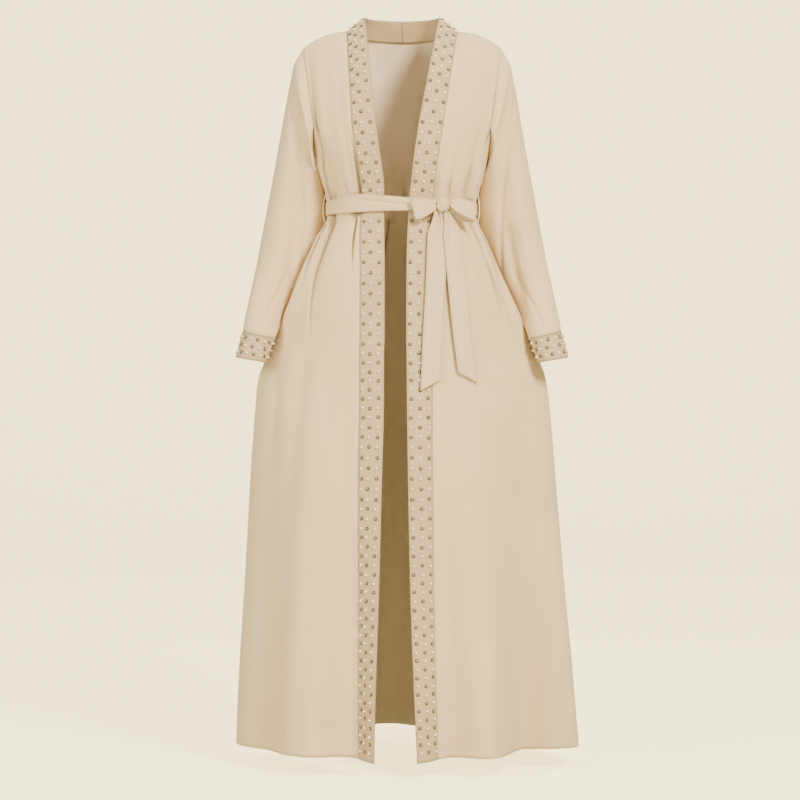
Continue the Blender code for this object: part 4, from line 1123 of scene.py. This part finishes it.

# %% [markdown]
# ## Beads
#
# Two kinds of bead are glued to the bands and cuffs, turn about, in three columns. One is a stud
# with a dark bronze rim round a lighter middle, polished metal with a painted highlight, and the
# other is a small pearl. Each kind is shaped once, and its points are copied to every place and
# turned to face out of the cloth.

# %% Bead shapes
STUD_PROFILE = [(3.6, -0.2), (3.6, 0.8), (3.0, 1.5), (2.1, 1.3), (1.6, 2.0), (0.8, 2.5), (0.0, 2.6)]
PEARL_RADIUS, PEARL_SINK = 0.0025, 0.0005
STUD_TURNS, STUD_MIDDLE = 12, 0.0019  # the radius of the lighter middle: polished metal with a painted highlight


def shape_of(mesh):
    """Points, faces and face materials of a small mesh, ready to be copied."""
    bmesh.ops.remove_doubles(mesh, verts=mesh.verts, dist=1e-6)
    bmesh.ops.recalc_face_normals(mesh, faces=mesh.faces)
    mesh.verts.index_update()
    points = np.array([vertex.co for vertex in mesh.verts])
    faces = [[vertex.index for vertex in face.verts] for face in mesh.faces]
    marks = [face.material_index for face in mesh.faces]
    mesh.free()
    return points, faces, marks


def stud_shape():
    mesh = bmesh.new()
    line = [mesh.verts.new((r / 1000, 0, z / 1000)) for r, z in STUD_PROFILE]
    edges = [mesh.edges.new(pair) for pair in zip(line[:-1], line[1:], strict=True)]
    bmesh.ops.spin(
        mesh, geom=[*line, *edges], cent=(0, 0, 0), axis=(0, 0, 1),
        angle=math.tau, steps=STUD_TURNS, use_merge=True,
    )  # fmt: skip
    for face in mesh.faces:
        middle = face.calc_center_median()
        # the middle faces take the lighter material: polished metal with a painted highlight
        face.material_index = int(math.hypot(middle.x, middle.y) < STUD_MIDDLE)
    return shape_of(mesh)


def pearl_shape():
    mesh = bmesh.new()
    bmesh.ops.create_uvsphere(mesh, u_segments=12, v_segments=8, radius=PEARL_RADIUS)
    bmesh.ops.translate(mesh, verts=mesh.verts, vec=(0, 0, PEARL_RADIUS - PEARL_SINK))
    return shape_of(mesh)


# %% Bead rows
BEAD_COLUMNS = {1: (0.008, 0.025, 0.042), -1: (0.0105, 0.0278, 0.0412)}  # by side
# The distance from one row of a band's beads to the next, at each of these heights.
PITCH_Z = (
    -1.42, -1.12, -0.94, -0.86, -0.76, -0.69, -0.60,
    -0.39, -0.32, -0.22, -0.165, -0.12, -0.07, 0.03,
)  # fmt: skip
PITCH = (
    0.0155, 0.0165, 0.0187, 0.0205, 0.0188, 0.0168, 0.0198,
    0.0212, 0.0178, 0.0205, 0.0212, 0.0180, 0.0172, 0.0182,
)  # fmt: skip
CUFF_BEADS, CUFF_BEAD_ROWS = 16, (0.011, 0.026, 0.041)
# The rows next to the sash: their height, their way along the band, and the bead they start with.
FIRST_ROWS = ((-0.3885, -1, 0), (-0.3280, 1, 1))
BARE_HEM, BARE_NAPE = 0.007, 0.004  # the length without beads at each end of a band
JITTER, ROW_JITTER, CUFF_JITTER = 0.0008, 0.15, 0.05  # metres, rows and beads
chance = np.random.default_rng(11)


def between(values, row, column):
    """What a grid holds at a place between its rows and columns."""
    i, j = min(int(row), values.shape[0] - 2), min(int(column), values.shape[1] - 2)
    a, b = row - i, column - j
    lower = values[i, j] * (1 - b) + values[i, j + 1] * b
    upper = values[i + 1, j] * (1 - b) + values[i + 1, j + 1] * b
    return lower * (1 - a) + upper * a


def band_places(side):
    """Places of the studs and the pearls of one band. Rows are counted both ways from the sash."""
    grid = grids["band_left" if side > 0 else "band_right"]
    normals = normals_of(grid)
    middle = grid[:, BAND_COLUMNS // 2]
    along = lengths(middle)
    numbers = np.arange(len(along))
    places = ([], [])
    for start, way, turn in FIRST_ROWS:
        first = int(np.argmax(middle[:, 2] > start))
        at = along[first - 1] + start - middle[first - 1, 2]
        while BARE_HEM < at < along[-1] - BARE_NAPE:
            row = float(np.interp(at, along, numbers))
            for number, across in enumerate(BEAD_COLUMNS[side]):
                share = (across + chance.uniform(-JITTER, JITTER)) / BAND_WIDTH
                column = BAND_COLUMNS * (share if side > 0 else 1 - share)
                near = min(row + chance.uniform(-ROW_JITTER, ROW_JITTER), len(along) - 1)
                point, out = between(grid, near, column), between(normals, near, column)
                places[(number + turn) % 2].append((point, out / np.linalg.norm(out)))
            at += way * float(np.interp(np.interp(row, numbers, middle[:, 2]), PITCH_Z, PITCH))
            turn += 1
    return places


def cuff_places(side):
    """Places of the studs and the pearls of one cuff."""
    grid = grids["cuff_left" if side > 0 else "cuff_right"]
    normals = normals_of(grid, closed=True)
    grid = np.concatenate([grid, grid[:, :1]], axis=1)
    normals = np.concatenate([normals, normals[:, :1]], axis=1)
    around = lengths(grid[CUFF_ROWS // 2])
    places = ([], [])
    for number, down in enumerate(CUFF_BEAD_ROWS):
        for turn in range(CUFF_BEADS):
            shift = 0.5 * (number % 2)
            share = (turn + shift + chance.uniform(-CUFF_JITTER, CUFF_JITTER)) / CUFF_BEADS
            column = float(np.interp(share % 1 * around[-1], around, np.arange(len(around))))
            row = CUFF_ROWS * (1 - down / CUFF_HEIGHT)
            point, out = between(grid, row, column), between(normals, row, column)
            places[(number + turn) % 2].append((point, out / np.linalg.norm(out)))
    return places


def copies(name, shape, places):
    """One mesh with a copy of the shape at each place."""
    points, faces, marks = shape
    all_points, all_faces = [], []
    for at, out in places:
        turn = np.array(Vector(out).to_track_quat("Z", "Y").to_matrix())
        start = len(all_points) * len(points)
        all_points.append(points @ turn.T + at)
        all_faces += [[index + start for index in face] for face in faces]
    data = bpy.data.meshes.new(name)
    data.from_pydata(np.concatenate(all_points).tolist(), [], all_faces)
    data.polygons.foreach_set("material_index", marks * len(places))
    data.shade_smooth()
    return placed(name, data)


beads = {}
for side, name in SIDES:
    for part, places in (("band", band_places(side)), ("cuff", cuff_places(side))):
        kinds = zip(("studs", "pearls"), (stud_shape, pearl_shape), places, strict=True)
        for kind, shape, at in kinds:
            beads[f"{part}_{name}_{kind}"] = copies(f"{part}_{name}_{kind}", shape(), at)
        print(part, name, "studs:", len(places[0]), "pearls:", len(places[1]))

# %% [markdown]
# ## Placing the pieces on the frame
#
# Each piece stands for the solid of the same name, and rides on the frame's one body.

# %% Frame
for name, piece in pieces.items():
    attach(piece, "root")
    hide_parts(name)
for piece in beads.values():
    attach(piece, "root")

# %% [markdown]
# Each piece of cloth was cut to a size, and its folds can use up no more cloth than there is.
# A tube is cut as wide as it is round. Only the record of a cut size is set out here: its name,
# width, length, area, what holds it and what it rests on.

# %% Cut sizes
Cut = namedtuple("Cut", "name width length area held rests_on")

# %% [markdown]
# ## Materials
#
# Crepe is a matt cloth with a pebbled surface. One node group makes its grain and its faint
# uneven tone for every cloth here, and another makes a line of small stitches along both edges of
# a strip, and the mask for a painted shadow of the seam at the edges. Deep in the creases the
# cloth is darkened by painted shade. Each material has its own shader, so its colour and roughness
# are set in one place.

# %% Node group helpers
def new_group(name, takes, gives):
    """An empty node group with these sockets, and its input and output nodes."""
    group = bpy.data.node_groups.new(name, "ShaderNodeTree")
    for socket, kind in takes:
        group.interface.new_socket(socket, in_out="INPUT", socket_type="NodeSocket" + kind)
    for socket, kind in gives:
        group.interface.new_socket(socket, in_out="OUTPUT", socket_type="NodeSocket" + kind)
    return group, group.nodes.new("NodeGroupInput"), group.nodes.new("NodeGroupOutput")


def add(tree, kind, values=(), **settings):
    """A node with these settings. values maps its sockets to numbers or to other sockets."""
    node = tree.nodes.new("ShaderNode" + kind)
    for setting, value in settings.items():
        setattr(node, setting, value)
    for socket, value in dict(values).items():
        if isinstance(value, bpy.types.NodeSocket):
            tree.links.new(value, node.inputs[socket])
        else:
            node.inputs[socket].default_value = value
    return node


def calc(tree, operation, *values):
    """What a Math node makes of these values."""
    return add(tree, "Math", enumerate(values), operation=operation).outputs[0]


def ramp(tree, value, start, end, low, high):
    """The value on a new scale: low at start, high at end, and even between them."""
    ends = {"From Min": start, "From Max": end, "To Min": low, "To Max": high}
    return add(tree, "MapRange", {"Value": value, **ends}).outputs[0]


def cloudy(tree, place, scale, detail, roughness):
    values = {"Vector": place, "Scale": scale, "Detail": detail, "Roughness": roughness}
    return add(tree, "TexNoise", values).outputs["Fac"]


def wavy(tree, place, scale, direction):
    values = {"Vector": place, "Scale": scale, "Distortion": 1.5}
    return add(tree, "TexWave", values, bands_direction=direction).outputs["Fac"]


# %% Crepe group
def crepe_group():
    """The colour and surface of crepe. Flat is its place on the cut cloth, for the weave, and
    Place is its place in space, for tones and slackness that run over several pieces."""
    takes = [("Flat", "Vector"), ("Place", "Vector"), ("Colour", "Color")]
    group, given, out = new_group("crepe", takes, [("Colour", "Color"), ("Normal", "Vector")])
    flat, place = given.outputs["Flat"], given.outputs["Place"]
    pebble = cloudy(group, flat, 1300, 2, 0.6)
    warp, weft = wavy(group, flat, 640, "X"), wavy(group, flat, 560, "Y")
    grain = calc(group, "MULTIPLY_ADD", calc(group, "ADD", warp, weft), 0.25, pebble)
    long = add(group, "Mapping", {"Vector": place, "Scale": (1, 1, 0.3)})
    slack = cloudy(group, long.outputs[0], 26, 3, 0.5)
    soft = add(group, "Bump", {"Height": slack, "Distance": 0.004, "Strength": 0.35})
    fine = add(group, "Bump", {
        "Height": grain, "Distance": 0.0003, "Strength": 0.45, "Normal": soft.outputs[0],
    })  # fmt: skip
    cloud = cloudy(group, place, 7, 4, 0.55)
    shade = ramp(group, cloud, 0.3, 0.7, 0.95, 1.04)
    weave = ramp(group, grain, 0.3, 1.1, 0.93, 1.03)
    tone = calc(group, "MULTIPLY", shade, weave)
    toned = {0: given.outputs["Colour"], "Scale": tone}
    mixed = add(group, "VectorMath", toned, operation="SCALE")
    group.links.new(mixed.outputs[0], out.inputs["Colour"])
    group.links.new(fine.outputs[0], out.inputs["Normal"])
    return group


# %% Stitch group
STITCH_INSET, STITCH_PITCH, STITCH_SHARE = 0.003, 0.0028, 0.72
STITCH_EDGE, SEAM_EDGE = (0.0002, 0.0006), (0.0003, 0.0010)  # where each mask starts to fade, ends


def stitch_group():
    """Masks of short stitches in a line, Inset from both edges of a strip that is Width wide,
    and of the edges themselves, for a painted shadow of the seam."""
    takes = [("Flat", "Vector"), ("Width", "Float"), ("Inset", "Float")]
    group, given, out = new_group("stitches", takes, [("Mask", "Float"), ("Seam", "Float")])
    parts = add(group, "SeparateXYZ", {0: given.outputs["Flat"]})
    across, along = parts.outputs["X"], parts.outputs["Y"]
    other = calc(group, "SUBTRACT", given.outputs["Width"], across)
    edge = calc(group, "MINIMUM", across, other)
    away = calc(group, "SUBTRACT", edge, given.outputs["Inset"])
    off = calc(group, "ABSOLUTE", away)
    line = ramp(group, off, *STITCH_EDGE, 1, 0)
    turns = calc(group, "MULTIPLY", along, 1 / STITCH_PITCH)
    dash = calc(group, "LESS_THAN", calc(group, "FRACT", turns), STITCH_SHARE)
    mask = calc(group, "MULTIPLY", line, dash)
    seam_shadow = ramp(group, edge, *SEAM_EDGE, 1, 0)
    group.links.new(mask, out.inputs["Mask"])
    group.links.new(seam_shadow, out.inputs["Seam"])
    return group


# %% Cloth materials
crepe_nodes, stitch_nodes = crepe_group(), stitch_group()


def shaded(name, roughness, metallic=0.0):
    made = bpy.data.materials.new(name)
    made.use_nodes = True
    shader = made.node_tree.nodes["Principled BSDF"]
    shader.inputs["Roughness"].default_value = roughness
    shader.inputs["Metallic"].default_value = metallic
    return made, made.node_tree, shader


SHADE = (0.19, 0.15, 0.115)  # the painted shade colour, deep in a crease and along a seam's edge
HOLLOW_SHADE, SEAM_SHADE = 0.85, 0.6  # how far the painted shade takes the colour in each, crease and seam


def darkened(tree, tint, mask, most):
    """The colour with painted shade: taken towards the shade colour by this mask's share of most.
    """
    share = calc(tree, "MULTIPLY", mask, most)
    return add(tree, "Mix", {0: share, 6: tint, 7: (*SHADE, 1)}, data_type="RGBA").outputs[2]


def cloth_material(name, colour, roughness, sheen, width=None):
    """Crepe of this colour. width is that of a strip with stitches along both edges."""
    made, tree, shader = shaded(name, roughness)
    shader.inputs["Sheen Weight"].default_value = sheen
    shader.inputs["Sheen Roughness"].default_value = 0.45
    shader.inputs["Specular IOR Level"].default_value = 0.25
    flat = add(tree, "UVMap", uv_map="cloth")
    place = add(tree, "TexCoord")
    crepe = add(tree, "Group", node_tree=crepe_nodes)
    tree.links.new(flat.outputs[0], crepe.inputs["Flat"])
    tree.links.new(place.outputs["Object"], crepe.inputs["Place"])
    crepe.inputs["Colour"].default_value = (*colour, 1)
    # painted shade: the colour is darkened deep in creases, by the value kept on each sheet's mesh
    shade_share = add(tree, "Attribute", attribute_name="hollow")
    tint = darkened(tree, crepe.outputs["Colour"], shade_share.outputs["Fac"], HOLLOW_SHADE)
    normal = crepe.outputs["Normal"]
    if width:
        sewn = add(tree, "Group", node_tree=stitch_nodes)
        tree.links.new(flat.outputs[0], sewn.inputs["Flat"])
        sewn.inputs["Width"].default_value = width
        sewn.inputs["Inset"].default_value = STITCH_INSET
        mask = sewn.outputs["Mask"]
        dent = {"Height": mask, "Distance": 0.0005, "Strength": 0.8, "Normal": normal}
        normal = add(tree, "Bump", dent, invert=True).outputs[0]
        # the stitches are drawn darker, and a painted shadow of the seam darkens the strip's edges
        stitch_and_seam_shadow = calc(tree, "MAXIMUM", mask, sewn.outputs["Seam"])
        tint = darkened(tree, tint, stitch_and_seam_shadow, SEAM_SHADE)
    tree.links.new(tint, shader.inputs["Base Color"])
    tree.links.new(normal, shader.inputs["Normal"])
    return made


SAND, SAND_TRIM = (0.69, 0.552, 0.375), (0.51, 0.398, 0.264)
SAND_SASH, WRONG_SIDE = (0.66, 0.527, 0.374), (0.80, 0.715, 0.60)
crepe = cloth_material("crepe", SAND, 0.88, 0.12)
crepe_back = cloth_material("crepe wrong side", WRONG_SIDE, 0.88, 0.12)
trim = cloth_material("trim", SAND_TRIM, 0.86, 0.10, width=BAND_WIDTH)
sash_cloth = cloth_material("sash", SAND_SASH, 0.84, 0.12, width=SASH_WIDTH)
knot_cloth = cloth_material("sash knot", SAND_SASH, 0.84, 0.12)
thread, _, thread_shader = shaded("thread", 0.6)
thread_shader.inputs["Base Color"].default_value = (0.80, 0.70, 0.62, 1)


# %% Bead materials
def simple(name, colour, roughness, metallic=0.0, coat=0.0):
    made, _, shader = shaded(name, roughness, metallic)
    shader.inputs["Base Color"].default_value = (*colour, 1)
    shader.inputs["Coat Weight"].default_value = coat
    shader.inputs["Coat Roughness"].default_value = 0.08
    return made


bronze = simple("bronze", (0.034, 0.026, 0.020), 0.45, metallic=0.4)
# lighter than the rim: polished metal, with a painted highlight of the dome
polished_and_highlight = simple("polished middle", (0.29, 0.27, 0.25), 0.36, metallic=0.5)
pearl = simple("pearl", (0.92, 0.90, 0.82), 0.25, coat=0.6)

# %% Room material
room_paint, room_tree, room_shader = shaded("room", 0.9)
ROOM_GLOW = 2.9  # seen by the camera only, so the room lights nothing
seen = add(room_tree, "LightPath")
glow = calc(room_tree, "MULTIPLY", seen.outputs["Is Camera Ray"], ROOM_GLOW)
room_tree.links.new(glow, room_shader.inputs["Emission Strength"])
room_shader.inputs["Emission Color"].default_value = (1.0, 0.88, 0.44, 1)
room_shader.inputs["Base Color"].default_value = (0.72, 0.744, 0.52, 1)
backdrop.data.materials.append(room_paint)

# %% Giving each piece its material
SLOTS = {"sash": sash_cloth, "trim": trim, "thread": thread, "crepe": crepe}


def slot_of(name):
    if name.startswith(("band", "cuff")):
        return "trim"
    if name.startswith("carrier"):
        return "thread"
    return "sash" if name.startswith(("sash", "bow")) else "crepe"


for name, piece in pieces.items():
    slot = slot_of(name)
    piece.data.materials.append(knot_cloth if name == "bow_knot" else SLOTS[slot])
    if slot == "crepe":
        piece.data.materials.append(crepe_back)
for name, piece in beads.items():
    for paint in (bronze, polished_and_highlight) if name.endswith("studs") else (pearl,):
        piece.data.materials.append(paint)
print("materials:", len(bpy.data.materials))
